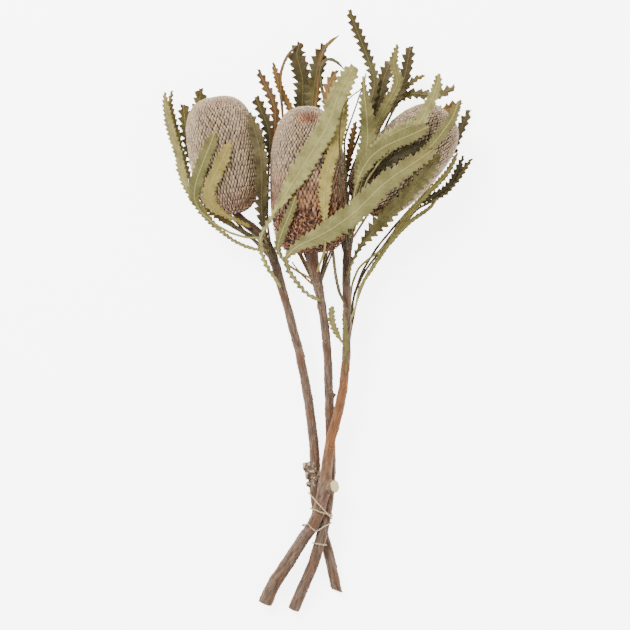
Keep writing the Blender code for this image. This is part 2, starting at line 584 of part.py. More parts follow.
def lay_leaf(leaf, line, ahead, half, heights, layers):
    """Mark the blade's upper side on the maps."""
    for across in np.linspace(-1, 1, 41):
        x = np.rint(line[:, 0] - ahead[:, 1] * half * across).astype(int)
        y = np.rint(line[:, 1] + ahead[:, 0] * half * across).astype(int)
        rise = np.array([blade_rise(leaf, distance) for distance in half * across])
        upper = heights + rise + BLADE_THICKNESS / 2
        np.maximum.at(layers.over, (y, x), upper)
        if leaf.behind:
            np.maximum.at(layers.low, (y, x), upper)


# Leaves

def leaf_stations(leaf, length):
    """Shares of the length where the blade has a row of points, and which rows are tooth tips."""
    toothless = leaf.neck if leaf.stalk < BARE_HALF else min(leaf.neck, 0.04)
    stalk = toothless * length
    stalk_rows = max(1, round(stalk / PETIOLE_STEP)) if toothless else 0
    if leaf.width > TWIG_WIDTH:
        teeth = max(2, round((length - stalk) / TOOTH_PITCH))
    else:
        teeth = max(2, round(length / PETIOLE_STEP / 2))
    shares = np.concatenate([np.linspace(0, toothless, stalk_rows, endpoint=False),
                             np.linspace(toothless, 1, 2 * teeth + 1)])
    tips = [number >= stalk_rows and (number - stalk_rows) % 2 == 1 for number in range(len(shares))]
    return shares, tips


def add_leaf(leaf, layers, collection):
    """A folded blade with a saw-toothed margin, laid over or under its neighbours."""
    line = smooth_route(leaf.route, FINE_STEP)
    heights = stack_heights(leaf, line, layers)
    length = float(np.hypot(*np.diff(line, axis=0).T).sum())
    shares, tips = leaf_stations(leaf, length)
    places = np.linspace(0, 1, len(line))
    middle = np.column_stack([np.interp(shares, places, column) for column in (*line.T, heights)])
    ahead = np.gradient(line, axis=0)
    ahead /= np.linalg.norm(ahead, axis=1)[:, None]
    ahead = np.column_stack([np.interp(shares, places, column) for column in ahead.T])
    tilt = math.cos(math.radians(leaf.roll))
    shape = bmesh.new()
    last = len(shares) - 1
    bmesh.ops.create_grid(shape, x_segments=2, y_segments=last, size=1)
    for vertex in shape.verts:
        across = round(vertex.co.x)
        station = round((vertex.co.y + 1) / 2 * last)
        half = float(blade_half(leaf, shares[station])) * tilt
        push = 0.0
        if half > BARE_HALF:
            if tips[station]:
                push = TOOTH_LEAN * TOOTH_PITCH / 2
            else:
                half = max(leaf.stalk * tilt / 2, half * (1 - NOTCH_DEPTH))
        if across == 0:
            push = 0.0
        x, y, z = middle[station]
        forward = ahead[station]
        out = across * half
        vertex.co = metres(x - forward[1] * out + forward[0] * push,
                           y + forward[0] * out + forward[1] * push, z + blade_rise(leaf, out))
    bmesh.ops.triangulate(shape, faces=shape.faces[:])
    blade = add_object(leaf.name, from_bmesh(shape, leaf.name), collection,
                       add_material(leaf.name, leaf.colour, 0.75))
    solid = blade.modifiers.new("thickness", "SOLIDIFY")
    solid.thickness = BLADE_THICKNESS * MM
    solid.offset = 0


def build():
    clear_scene()
    collection = add_collection(NAME)
    cutters = add_collection("cutters")
    layers = Layers()
    for head in HEADS:
        add_head(head, collection)
        layers.lay_head(head)
    routes = stem_routes()
    for stem, route in zip(STEMS, routes):
        add_stem(stem, route, collection, cutters)
        layers.lay_tube(route)
    add_twine(routes, collection)
    for leaf in LEAVES:
        add_leaf(leaf, layers, collection)


build()
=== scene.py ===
# %% [markdown]
# # A tied bunch of three dried banksia spikes
# Three dried flower spikes lie on a pale table, with their saw-toothed leaves and three woody
# stems, held together by a few turns of cream twine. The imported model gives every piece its
# place. This script gives each of them its skin: florets, bark, leaf veins and twisted fibre.
# Lengths are millimetres on a sheet seen from above, x to the right and y down the bunch.

# %% Load the fixed frame
import math
import random
from collections import namedtuple

import bpy
import numpy as np
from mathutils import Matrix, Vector, noise
from mathutils.bvhtree import BVHTree


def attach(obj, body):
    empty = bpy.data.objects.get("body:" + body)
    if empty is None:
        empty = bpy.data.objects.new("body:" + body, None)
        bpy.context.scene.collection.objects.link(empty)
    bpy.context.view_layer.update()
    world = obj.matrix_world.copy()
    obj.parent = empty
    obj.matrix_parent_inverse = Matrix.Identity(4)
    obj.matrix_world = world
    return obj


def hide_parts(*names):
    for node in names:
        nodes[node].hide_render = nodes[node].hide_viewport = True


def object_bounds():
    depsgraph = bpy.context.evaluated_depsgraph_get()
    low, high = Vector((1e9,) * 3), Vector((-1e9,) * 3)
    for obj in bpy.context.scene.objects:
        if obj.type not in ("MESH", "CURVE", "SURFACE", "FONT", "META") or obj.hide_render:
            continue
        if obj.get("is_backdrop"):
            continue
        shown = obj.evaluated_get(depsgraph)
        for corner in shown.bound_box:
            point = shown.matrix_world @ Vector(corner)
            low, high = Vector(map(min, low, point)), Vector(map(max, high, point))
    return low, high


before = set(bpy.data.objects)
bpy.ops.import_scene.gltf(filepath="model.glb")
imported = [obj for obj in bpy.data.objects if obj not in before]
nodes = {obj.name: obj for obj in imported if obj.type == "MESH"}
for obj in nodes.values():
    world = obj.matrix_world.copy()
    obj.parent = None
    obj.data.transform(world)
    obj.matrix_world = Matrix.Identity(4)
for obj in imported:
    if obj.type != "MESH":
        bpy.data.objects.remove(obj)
solid_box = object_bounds()
print("nodes in the frame:", len(nodes))

# %% [markdown]
# ## From the sheet to the frame
# The solids were drawn on a sheet whose y runs down. One helper turns sheet points into the
# frame's metres, and two more draw a soft curve through given points. The solids were made
# on the same curves, so what is built here lies on them.

# %% Places and soft routes
MM = 0.001
SHEET_CENTRE = (317.4, 311.2)
SOFTEN = 9


def to_frame(points):
    """Sheet points, one x, y, z a row, in the frame's metres."""
    points = np.asarray(points, float)
    return np.column_stack([points[:, 0] - SHEET_CENTRE[0], SHEET_CENTRE[1] - points[:, 1],
                            points[:, 2]]) * MM


def even_points(line, step):
    """The same line with points about a step apart."""
    run = np.concatenate([[0], np.cumsum(np.hypot(np.diff(line[:, 0]), np.diff(line[:, 1])))])
    places = np.linspace(0, run[-1], max(2, round(run[-1] / step)) + 1)
    return np.column_stack([np.interp(places, run, column) for column in line.T])


def soft_route(points, step):
    """A soft curve along given points, which keeps both ends where they are."""
    line = even_points(np.array(points, float), 1.0)
    half = min(SOFTEN, len(line) - 2)
    before = 2 * line[0] - line[half:0:-1]
    after = 2 * line[-1] - line[-2:-half - 2:-1]
    weights = np.hanning(2 * half + 3)[1:-1]
    padded = np.vstack([before, line, after])
    columns = [np.convolve(column, weights / weights.sum(), "valid") for column in padded.T]
    return even_points(np.column_stack(columns), step)


def directions(line):
    """Unit direction of a line at each of its points."""
    ahead = np.gradient(line, axis=0)
    return ahead / np.linalg.norm(ahead, axis=1)[:, None]


print("sheet centre:", SHEET_CENTRE)

# %% [markdown]
# ## Meshes from arrays
# A flower spike here has two to four thousand florets. Placing each as an object would be slow, and
# the export drops instances, so all of them are worked out as rows of numbers and become one
# mesh. Numbers that the materials need, such as how far along a floret a point is, ride along as
# named attributes.

# %% One mesh piece from arrays
def grid_faces(rows, wide, closed):
    """Four-cornered faces of a grid of points, row by row, joined round if closed."""
    spots = range(wide if closed else wide - 1)
    return [(row * wide + spot, row * wide + (spot + 1) % wide,
             (row + 1) * wide + (spot + 1) % wide, (row + 1) * wide + spot)
            for row in range(rows - 1) for spot in spots]


def turned_out(points, faces):
    """The faces, flipped if the closed shape they make is inside out."""
    corners = points[faces[:, :3]]
    volume = np.einsum("ij,ij->i", corners[:, 0], np.cross(corners[:, 1], corners[:, 2])).sum()
    return faces if volume > 0 else faces[:, ::-1]


def add_piece(name, points, faces, finishes, replaced, marks=None, picks=None, smooth=True):
    """A mesh piece that stands for the named nodes. Marks are vector attributes of its points."""
    mesh = bpy.data.meshes.new(name)
    mesh.from_pydata(points.tolist(), [], faces.tolist() if hasattr(faces, "tolist") else faces)
    for finish in finishes:
        mesh.materials.append(finish.material)
    if picks is not None:
        mesh.polygons.foreach_set("material_index", np.asarray(picks, np.int32))
    mesh.polygons.foreach_set("use_smooth", [smooth] * len(mesh.polygons))
    for mark, values in (marks or {}).items():
        layer = mesh.attributes.new(mark, "FLOAT_VECTOR", "POINT")
        layer.data.foreach_set("vector", np.asarray(values, np.float32).ravel())
    mesh.update()
    piece = bpy.data.objects.new(name, mesh)
    bpy.context.scene.collection.objects.link(piece)
    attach(piece, "root")
    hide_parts(*replaced)
    return piece


# %% [markdown]
# ## Materials as sums
# A material here is mostly arithmetic: a vein is a thin band of a distance, and a tint is a share
# of noise. Writing each Math node by hand hides that, so one small class lets sockets be added
# and multiplied like numbers, and another holds the material and adds every other node.

# %% Sockets that can be added and multiplied
class Wire:
    """An output socket. Each sum with it adds one Math node."""

    def __init__(self, finish, socket):
        self.finish = finish
        self.socket = socket

    def sum(self, operation, *values):
        return self.finish.node("ShaderNodeMath", {"operation": operation}, dict(enumerate(values)))

    def __add__(self, other):
        return self.sum("ADD", self, other)

    def __sub__(self, other):
        return self.sum("SUBTRACT", self, other)

    def __rsub__(self, other):
        return self.sum("SUBTRACT", other, self)

    def __mul__(self, other):
        return self.sum("MULTIPLY", self, other)

    def __truediv__(self, other):
        return self.sum("DIVIDE", self, other)

    def __abs__(self):
        return self.sum("ABSOLUTE", self)

    def part(self):
        """What is left of the value over its whole number."""
        return self.sum("FRACT", self)

    def between(self, low, high):
        """0 up to low, 1 from high on, with a soft step between them."""
        return self.finish.node("ShaderNodeMapRange", {"interpolation_type": "SMOOTHSTEP"},
                                {"Value": self, "From Min": low, "From Max": high})


class Finish:
    """A material with its shader, and the one method that adds any other node."""

    def __init__(self, name, roughness, **uniform):
        self.material = bpy.data.materials.new(name)
        self.material.use_nodes = True
        self.tree = self.material.node_tree
        self.shader = self.tree.nodes["Principled BSDF"]
        self.shader.inputs["Roughness"].default_value = roughness
        for socket, value in uniform.items():
            self.shader.inputs[socket.replace("_", " ")].default_value = value

    def feed(self, socket, value):
        if isinstance(value, Wire):
            self.tree.links.new(value.socket, socket)
        else:
            socket.default_value = value

    def node(self, kind, settings=None, inputs=None, out=0):
        made = self.tree.nodes.new(kind)
        for setting, value in (settings or {}).items():
            setattr(made, setting, value)
        for place, value in (inputs or {}).items():
            self.feed(made.inputs[place], value)
        return Wire(self, made.outputs[out])

    def mark(self, name):
        """The three numbers of a named attribute."""
        vector = self.node("ShaderNodeAttribute", {"attribute_name": name}, out="Vector")
        split = self.node("ShaderNodeSeparateXYZ", None, {0: vector})
        return [Wire(self, socket) for socket in split.socket.node.outputs]

    def vector(self, x, y, z):
        return self.node("ShaderNodeCombineXYZ", None, {0: x, 1: y, 2: z})

    def place(self):
        """The point's own place on the object, in metres."""
        return self.node("ShaderNodeTexCoord", None, None, "Object")

    def noise(self, place, scale, detail=3.0, rough=0.55):
        return self.node("ShaderNodeTexNoise", None,
                         {"Vector": place, "Scale": scale, "Detail": detail, "Roughness": rough})

    def mix(self, share, first, second):
        """Colours mixed by a share."""
        return self.node("ShaderNodeMix", {"data_type": "RGBA"}, {0: share, 6: first, 7: second}, 2)

    def colour(self, value):
        self.feed(self.shader.inputs["Base Color"], value)

    def relief(self, height, depth):
        """Fine relief, its depth in millimetres."""
        bump = self.node("ShaderNodeBump", None, {"Height": height, "Distance": depth * MM})
        self.feed(self.shader.inputs["Normal"], bump)


def paint(red, green, blue):
    """A colour from its usual 0 to 255 numbers, as light."""
    return (*[(value / 255) ** 2.2 for value in (red, green, blue)], 1.0)


print("paint of mid grey:", [round(value, 3) for value in paint(128, 128, 128)])

# %% [markdown]
# ## The florets' finish
# A dried spike is covered with woolly florets. Each is pinkish beige where it faces the light and
# dark brown deep down, where it leaves the core, so the colour follows how far up its floret a
# point is. That dark foot is partly the floret's own darker base and partly painted shade, for the
# shade deep in the gaps between florets; opened florets get the same painted shade at their feet.
# A second number tints whole florets, and a third turns them rust: fully where they have opened,
# and in part where a spike browns towards its foot or at the small round button on its upper side.
# Wool is matt with a faint sheen.

# %% Woolly floret finish
def floret_finish():
    wool = Finish("floret_wool", 0.92, Sheen_Weight=0.25, Specular_IOR_Level=0.2)
    rise, tint, rust = wool.mark("floret")
    fleck = wool.noise(wool.place(), 900.0, 3.0, 0.7)
    clouds = wool.noise(wool.place(), 45.0, 2.0)
    pale = wool.mix(tint, paint(116, 94, 74), paint(162, 138, 108))
    pale = wool.mix(clouds.between(0.35, 0.7) * 0.45, pale, paint(136, 120, 88))
    pale = wool.mix(fleck.between(0.45, 0.75) * 0.35, pale, paint(98, 72, 52))
    # The dark foot of each grain: partly its own darker base, partly painted shade in the gaps between
    # florets.
    deep = wool.mix(rise.between(0.38, 0.85), paint(40, 27, 18), pale)
    opened = wool.mix(tint, paint(76, 42, 23), paint(184, 116, 64))
    # Opened florets darken towards their feet the same way: partly their own colour, partly painted shade.
    opened = wool.mix(rise.between(0.0, 0.6), paint(46, 27, 17), opened)
    wool.colour(wool.mix(rust, deep, opened))
    wool.relief(fleck, 0.25)
    return wool


def core_finish():
    core = Finish("floret_core", 0.95)
    speck = core.noise(core.place(), 500.0, 4.0, 0.7)
    # Dark brown: partly the spike's own colour, partly painted shade, as it shows in the gaps between
    # florets.
    core.colour(core.mix(speck, paint(38, 26, 20), paint(84, 60, 46)))
    core.relief(speck, 0.6)
    return core


wool = floret_finish()
core = core_finish()
print("finishes:", wool.material.name, core.material.name)

# %% [markdown]
# ## One floret
# A floret is a grain up to 3.3 mm wide and 4 to 9 mm long that leans up the spike: its lower end
# is rooted in the core and its round, woolly tip stands clear. It could be a sphere stretched
# out, but a small swept tube gives the lean and the blunt tip with few faces. An opened floret,
# as at the feet of the middle and right spikes, is a thin curled hook instead.

# %% Floret shapes
SIDES = 5
GRAIN_RINGS = ((0.00, 0.42), (0.25, 0.72), (0.52, 1.00), (0.76, 0.98), (0.93, 0.62))
HOOK_RINGS = ((0.00, 0.80), (0.30, 0.85), (0.55, 0.90), (0.78, 0.80), (0.95, 0.50))


def swept_faces(rings):
    """Faces of a closed tube: its rings, then a point at its foot and one at its tip."""
    faces = []
    for ring in range(rings - 1):
        for side in range(SIDES):
            a = ring * SIDES + side
            b = ring * SIDES + (side + 1) % SIDES
            faces += [(a, b, b + SIDES), (a, b + SIDES, a + SIDES)]
    foot = rings * SIDES
    last = (rings - 1) * SIDES
    for side in range(SIDES):
        following = (side + 1) % SIDES
        faces += [(foot, following, side), (foot + 1, last + side, last + following)]
    return np.array(faces)


def grain_shape():
    """Points of a grain as along, across and out, with the rise of each."""
    points = []
    for rise, wide in GRAIN_RINGS:
        along = rise - 0.5
        out = 1.3 - 3.9 * (1 - rise) ** 1.5
        for side in range(SIDES):
            turn = math.tau * (side + 0.5) / SIDES
            points.append((along - 0.16 * wide * math.sin(turn), 0.5 * wide * math.cos(turn),
                           out + 0.9 * wide * math.sin(turn), rise))
    return np.array(points + [(-0.55, 0.0, -2.8, 0.0), (0.56, 0.0, 1.4, 1.0)])


def hook_shape():
    """A thin opened floret that stands out and curls over, in millimetres."""
    points = []
    for rise, wide in HOOK_RINGS:
        along = 4.6 * math.sin(1.7 * rise) - 2.0
        out = -1.6 + 4.2 * rise - 1.7 * rise ** 3
        sway = 0.9 * math.sin(3.0 * rise)
        for side in range(SIDES):
            turn = math.tau * (side + 0.5) / SIDES
            points.append((along + 0.3 * wide * math.sin(turn), sway + 0.5 * wide * math.cos(turn),
                           out + 0.5 * wide * math.sin(turn), rise))
    return np.array(points + [(-2.1, 0.0, -1.8, 0.0), (2.6, 0.1, 1.1, 1.0)])


grain = grain_shape()
hook = hook_shape()
floret_faces = swept_faces(len(GRAIN_RINGS))
print("faces in one floret:", len(floret_faces))

# %% [markdown]
# ## The spikes
# The spike is a barrel. Its florets stand in near-upright columns, each half a step on from its
# neighbour, and crowd into finer grains towards the top. The barrel's outline is the solid's own,
# drawn again from the same values, so the grains end near the solid's skin. Towards both ends the
# columns run together, so only every second, fourth or eighth one goes on where the barrel is
# narrow. Where florets have opened, two or three hooks stand in the place of one grain.

# %% The barrels
Head = namedtuple("Head", "node base top width height widest top_full base_full "
                          "rust_from brown_from button")
HEADS = [
    Head("head_left", (233, 213), (215, 98), 67, 32.6, 0.42, 2.8, 2.7,
         1.1, 0.80, (222, 104, 0.25)),
    Head("head_middle", (311.5, 252), (305, 108), 74, 46.2, 0.62, 2.6, 3.8,
         0.72, 0.40, (309, 120, 1.0)),
    Head("head_right", (361, 207.5), (446.5, 113.5), 70, 34.1, 0.50, 2.6, 2.6,
         0.95, 0.8, (440, 122, 0.0)),
]
COLUMNS = 60
SKIN = 0.9
CORE_DEPTH = 2.2
CORE_AROUND = 40
CORE_RINGS = 34
CORE_ENDS = (0.012, 0.988)
THINNEST_CORE = 0.6
CORE_FLOOR = 0.4

# Rows: the first one's place, the room left at the foot, a row's height at the top, what it
# gains, and the share of the outline over which it and the grains grow.
FIRST_ROW = 2.2
FOOT_ROOM = 3
ROW_HEIGHT = 2.1
ROW_GROWTH = 2.1
GROWN_AT = 0.55

# The least room in millimetres for a column, and every how many columns one is then kept.
KEPT_COLUMNS = ((1.9, 1), (0.95, 2), (0.48, 4), (-1, 8))
GRAIN_LENGTH = 4.2
GRAIN_GROWTH = 5.0
WIDEST_GRAIN = 3.3
GRAIN_FILL = 0.84
MOST_BROWN = 0.75
BROWN_OVER = 0.25
BUTTON_SIZE = (8, 5)
BUTTON_EDGE = 1.6
THIRD_HOOK = 0.35


def barrel_outline(head, steps=600):
    """Run along the outline, distance from the top and radius, for a spike."""
    length = math.dist(head.base, head.top)
    share = 0.5 * (1 - np.cos(np.linspace(0, math.pi, steps)))
    above = np.clip(1 - share / head.widest, 0, 1) ** head.top_full
    below = np.clip((share - head.widest) / (1 - head.widest), 0, 1) ** head.base_full
    radius = head.width / 2 * (1 - above) ** (1 / head.top_full) * (1 - below) ** (1 / head.base_full)
    line = np.column_stack([share * length, radius])
    run = np.concatenate([[0], np.cumsum(np.hypot(*np.diff(line, axis=0).T))])
    return run, line[:, 0], line[:, 1]


def barrel_axes(head):
    """The top of a spike, the direction to its base and the direction across it, on the sheet."""
    top = np.array((*head.top, head.height), float)
    axis = np.array((head.base[0] - head.top[0], head.base[1] - head.top[1], 0.0))
    axis /= np.linalg.norm(axis)
    return top, axis, np.cross(axis, (0, 0, 1))


def core_barrel(head):
    """The dark core under the florets; its dark colour is partly painted shade in the gaps between them."""
    run, along, radius = barrel_outline(head)
    top, axis, side = barrel_axes(head)
    points = []
    for place in np.linspace(run[-1] * CORE_ENDS[0], run[-1] * CORE_ENDS[1], CORE_RINGS):
        reach = max(THINNEST_CORE, np.interp(place, run, radius) - CORE_DEPTH)
        middle = top + axis * np.interp(place, run, along)
        for turn in np.linspace(0, math.tau, CORE_AROUND, endpoint=False):
            point = middle + side * reach * math.cos(turn) + np.array((0, 0, reach * math.sin(turn)))
            points.append((point[0], point[1], max(CORE_FLOOR, point[2])))
    faces = grid_faces(CORE_RINGS, CORE_AROUND, True)
    triangles = [tri for a, b, c, d in faces for tri in ((a, b, c), (a, c, d))]
    foot = len(points)
    last = foot - CORE_AROUND
    points.append(np.mean(points[:CORE_AROUND], axis=0))
    points.append(np.mean(points[last:foot], axis=0))
    for spot in range(CORE_AROUND):
        following = (spot + 1) % CORE_AROUND
        triangles += [(foot, following, spot), (foot + 1, last + spot, last + following)]
    return np.array(points), np.array(triangles)


def floret_rows(run):
    """Places of the rows along the outline: fine at the top, coarse at the foot."""
    places = [FIRST_ROW]
    while places[-1] < run[-1] - FOOT_ROOM:
        share = places[-1] / run[-1]
        places.append(places[-1] + ROW_HEIGHT + ROW_GROWTH * min(1, share / GROWN_AT))
    return places


def spike_florets(head, chance):
    """Every floret of a spike: points, faces and marks."""
    run, along, radius = barrel_outline(head)
    top, axis, side = barrel_axes(head)
    up = np.array((0.0, 0.0, 1.0))
    points, marks = [], []
    for row, place in enumerate(floret_rows(run)):
        reach = np.interp(place, run, radius)
        slope = (np.interp(place + 0.5, run, radius) - np.interp(place - 0.5, run, radius))
        advance = (np.interp(place + 0.5, run, along) - np.interp(place - 0.5, run, along))
        share = np.interp(place, run, along) / along[-1]
        room = math.tau * reach / COLUMNS
        keep = next(every for least, every in KEPT_COLUMNS if room > least)
        pitch = GRAIN_LENGTH + GRAIN_GROWTH * min(1, place / run[-1] / GROWN_AT)
        width = min(WIDEST_GRAIN, room * keep * GRAIN_FILL)
        for column in range(0, COLUMNS, keep):
            turn = math.tau * (column + 0.5 * keep * (row % 2) + chance.uniform(-0.13, 0.13)) / COLUMNS
            radial = side * math.cos(turn) + up * math.sin(turn)
            sideways = -side * math.sin(turn) + up * math.cos(turn)
            upward = -(axis * advance + radial * slope)
            upward /= np.linalg.norm(upward)
            out = np.cross(sideways, upward)
            if out @ radial < 0 and reach > 5:
                out = -out
            centre = top + axis * np.interp(place, run, along) + radial * reach
            opened = share > head.rust_from + chance.uniform(-0.06, 0.05)
            browned = min(1, max(0, (share - head.brown_from) / BROWN_OVER))
            brown = MOST_BROWN * browned * chance.uniform(0.6, 1.2)
            button_x, button_y, button = head.button
            apart = math.hypot((centre[0] - button_x) / BUTTON_SIZE[0],
                               (centre[1] - button_y) / BUTTON_SIZE[1])
            if centre[2] > head.height:
                brown = max(brown, button * min(1, max(0, BUTTON_EDGE - apart)))
            third = opened and chance.random() < THIRD_HOOK
            for _ in range(1 + int(opened) + int(third)):
                if opened:
                    shape, spin, rust = hook, chance.gauss(0, 0.7), 1.0
                    length = wide = chance.uniform(0.85, 1.5)
                    stand = chance.uniform(0.5, 1.15)
                else:
                    shape, spin, rust = grain, chance.uniform(-0.10, 0.10), brown
                    length, wide = pitch * chance.uniform(0.88, 1.02), width
                    stand = SKIN * chance.uniform(0.85, 1.15)
                shift = chance.uniform(-2.2, 2.2) if opened else chance.uniform(-0.35, 0.35)
                sidestep = chance.uniform(-1.5, 1.5) if opened else 0.0
                t = shape[:, 0] * length
                s = shape[:, 1] * wide
                local = (centre + np.outer(t * math.cos(spin) - s * math.sin(spin) + shift, upward)
                         + np.outer(t * math.sin(spin) + s * math.cos(spin) + sidestep, sideways)
                         + np.outer(shape[:, 2] * stand, out))
                local[:, 2] = np.maximum(local[:, 2], 0)
                points.append(local)
                tint = np.full(len(shape), chance.random() * (1 if opened else 1 - 0.75 * brown))
                marks.append(np.column_stack([shape[:, 3], tint, np.full(len(shape), rust)]))
    count = len(points)
    size = len(grain)
    faces = np.concatenate([floret_faces + number * size for number in range(count)])
    return np.concatenate(points), faces, np.concatenate(marks)


def add_spike(head):
    """One spike: its dark core with the florets on it."""
    chance = random.Random(head.node)
    florets, faces, marks = spike_florets(head, chance)
    barrel, barrel_faces = core_barrel(head)
    florets = to_frame(florets)
    barrel = to_frame(barrel)
    first = turned_out(florets[:len(grain)] - florets[0], floret_faces)
    if first[0, 0] != floret_faces[0, 0]:
        faces = faces[:, ::-1]
    barrel_faces = turned_out(barrel - barrel.mean(0), barrel_faces) + len(florets)
    picks = [0] * len(faces) + [1] * len(barrel_faces)
    marks = np.concatenate([marks, np.zeros((len(barrel), 3))])
    piece = add_piece(head.node.replace("head", "spike"), np.concatenate([florets, barrel]),
                      np.concatenate([faces, barrel_faces]), [wool, core],
                      [head.node], {"floret": marks}, picks)
    print(piece.name, "florets:", len(florets) // len(grain), "triangles:", len(piece.data.polygons))


for head in HEADS:
    add_spike(head)

# %% [markdown]
# ## The leaves' finish
# A banksia leaf has a pale felted underside with a raised midrib and a net of veins, and a
# leathery upper side that dries olive to brown. Both are drawn from two numbers that each blade
# carries: how far along it a point is and how far across. A side vein is then a slanting line in
# those two numbers, one for each tooth. Another number darkens thin dead stalks, and also, as
# painted shade, the stalks of three pale blades that lie in the dark gap under their neighbours.
# Blotches of several sizes keep neighbouring blades from looking alike.

# %% Leaf finishes
def leaf_finish(name, low, high, stain, rib, vein_share, rib_share, roughness, patch=0.5):
    leaf = Finish(name, roughness, Specular_IOR_Level=0.3)
    along, across, tint = leaf.mark("blade")
    share, edge, pitch = leaf.mark("rim")
    place = leaf.place()
    clouds = leaf.noise(place, 55.0, 3.0)
    mottle = leaf.noise(place, 420.0, 4.0, 0.65)
    tone = leaf.mix((clouds * 0.55 + tint * 0.45).between(0.3, 0.75), low, high)
    tone = leaf.mix(mottle.between(0.5, 0.78) * 0.4, tone, stain)
    blotch = leaf.noise(place, 150.0, 2.0, 0.6)
    tone = leaf.mix(blotch.between(0.46, 0.66) * 0.5, tone, low)
    slant = (along - abs(across) * 0.9) / pitch
    line = abs(slant.part() - 0.5) * pitch
    vein = (1 - line.between(0.15, 0.5)) * (1 - edge.between(0.8, 1.0))
    tone = leaf.mix(vein * vein_share, tone, rib)
    fibre = leaf.noise(leaf.vector(along * 0.15, across * 1.6, tint), 1.6, 3.0)
    tone = leaf.mix(fibre.between(0.5, 0.8) * 0.3, tone, low)
    worn = edge.between(0.72, 1.0) * 0.5 + share.between(0.82, 1.0) * 0.6
    wear = worn * mottle.between(0.35, 0.62)
    tone = leaf.mix(wear * patch, tone, stain)
    # Darker thin stalks: the dead stalks' own colour, and painted shade on the stalks of three pale blades
    # in the dark gap under their neighbours.
    stalk = leaf.mark("stalk")[0]
    tone = leaf.mix(stalk * 0.8, tone, paint(62, 48, 32))
    middle = 1 - abs(across).between(0.25, 0.75)
    leaf.colour(leaf.mix(middle * rib_share, tone, rib))
    leaf.relief(vein * 0.5 + middle * 0.8 + mottle * 0.5, 0.35)
    return leaf


# Low and high tone, stain, rib, shares of vein and rib, roughness, and how worn the rim is.
TONES = {
    "pale": ((90, 86, 50), (134, 129, 80), (96, 76, 42), (158, 146, 88), 0.26, 0.55, 0.85, 0.7),
    "yellow": ((104, 93, 48), (138, 124, 68), (118, 88, 42), (158, 140, 80), 0.22, 0.45, 0.85, 0.6),
    "moss": ((74, 69, 38), (118, 110, 62), (92, 68, 36), (136, 126, 76), 0.28, 0.45, 0.7, 0.7),
    "olive": ((54, 49, 26), (98, 90, 48), (82, 58, 30), (116, 104, 60), 0.28, 0.42, 0.6, 0.8),
    "brown": ((74, 54, 30), (120, 90, 48), (58, 38, 22), (138, 108, 64), 0.26, 0.4, 0.65, 0.7),
    # The dark tone: partly the blades' own dark colour, partly painted shade for blades that lie under their
    # neighbours.
    "dark": ((50, 44, 26), (82, 72, 42), (60, 42, 26), (98, 88, 54), 0.26, 0.4, 0.7, 0.5),
}


def tone_finish(tone):
    low, high, stain, rib, vein_share, rib_share, roughness, patch = TONES[tone]
    return leaf_finish(f"leaf_{tone}_side", paint(*low), paint(*high), paint(*stain), paint(*rib),
                       vein_share, rib_share, roughness, patch)


LEAF_LOOKS = {tone: tone_finish(tone) for tone in TONES}
OTHER_SIDE = {"pale": "olive", "yellow": "moss", "moss": "pale", "olive": "pale", "brown": "pale",
              "dark": "pale"}

# Blades whose tone in the bunch is not the plain one of the side they show. The dark tone on some
# of them is partly painted shade, where they lie in the gaps under their neighbours.
SPECIAL_TONES = {
    "leaf_left_outer": "moss", "leaf_left_edge": "olive", "leaf_left_gap_olive": "dark",
    "leaf_left_slip": "olive", "leaf_middle_front_right": "yellow", "leaf_left_front": "yellow",
    "leaf_right_shadow": "dark", "leaf_right_back_tip": "dark", "leaf_middle_thin_tip": "brown",
    "leaf_middle_slip": "dark", "leaf_right_twig": "dark", "leaf_right_twig_short": "dark",
    "leaf_middle_back_small": "brown", "leaf_left_back_tall": "brown", "leaf_right_low": "moss",
    "leaf_right_scale": "olive", "leaf_right_outer_brown": "dark", "leaf_right_outer_small": "olive",
    "leaf_left_stalk": "dark", "leaf_right_gap_tall": "moss", "leaf_left_back_blunt": "moss",
    "leaf_right_back_end": "brown", "leaf_left_gap_dark": "olive",
}


def blade_looks(blade):
    tone = SPECIAL_TONES.get(blade.node, blade.side)
    return [LEAF_LOOKS[tone], LEAF_LOOKS[OTHER_SIDE[tone]]]


print("leaf finishes:", sorted(LEAF_LOOKS))

# %% [markdown]
# ## Where each blade runs
# Every leaf is named for its solid, with the side it shows, its width, the share of it that is
# bare stalk, its roll and its route on the sheet. These are the solids' own values, so each blade
# keeps its solid's place. The height isn't listed: it is read from the solid by dropping a line
# onto it from above.

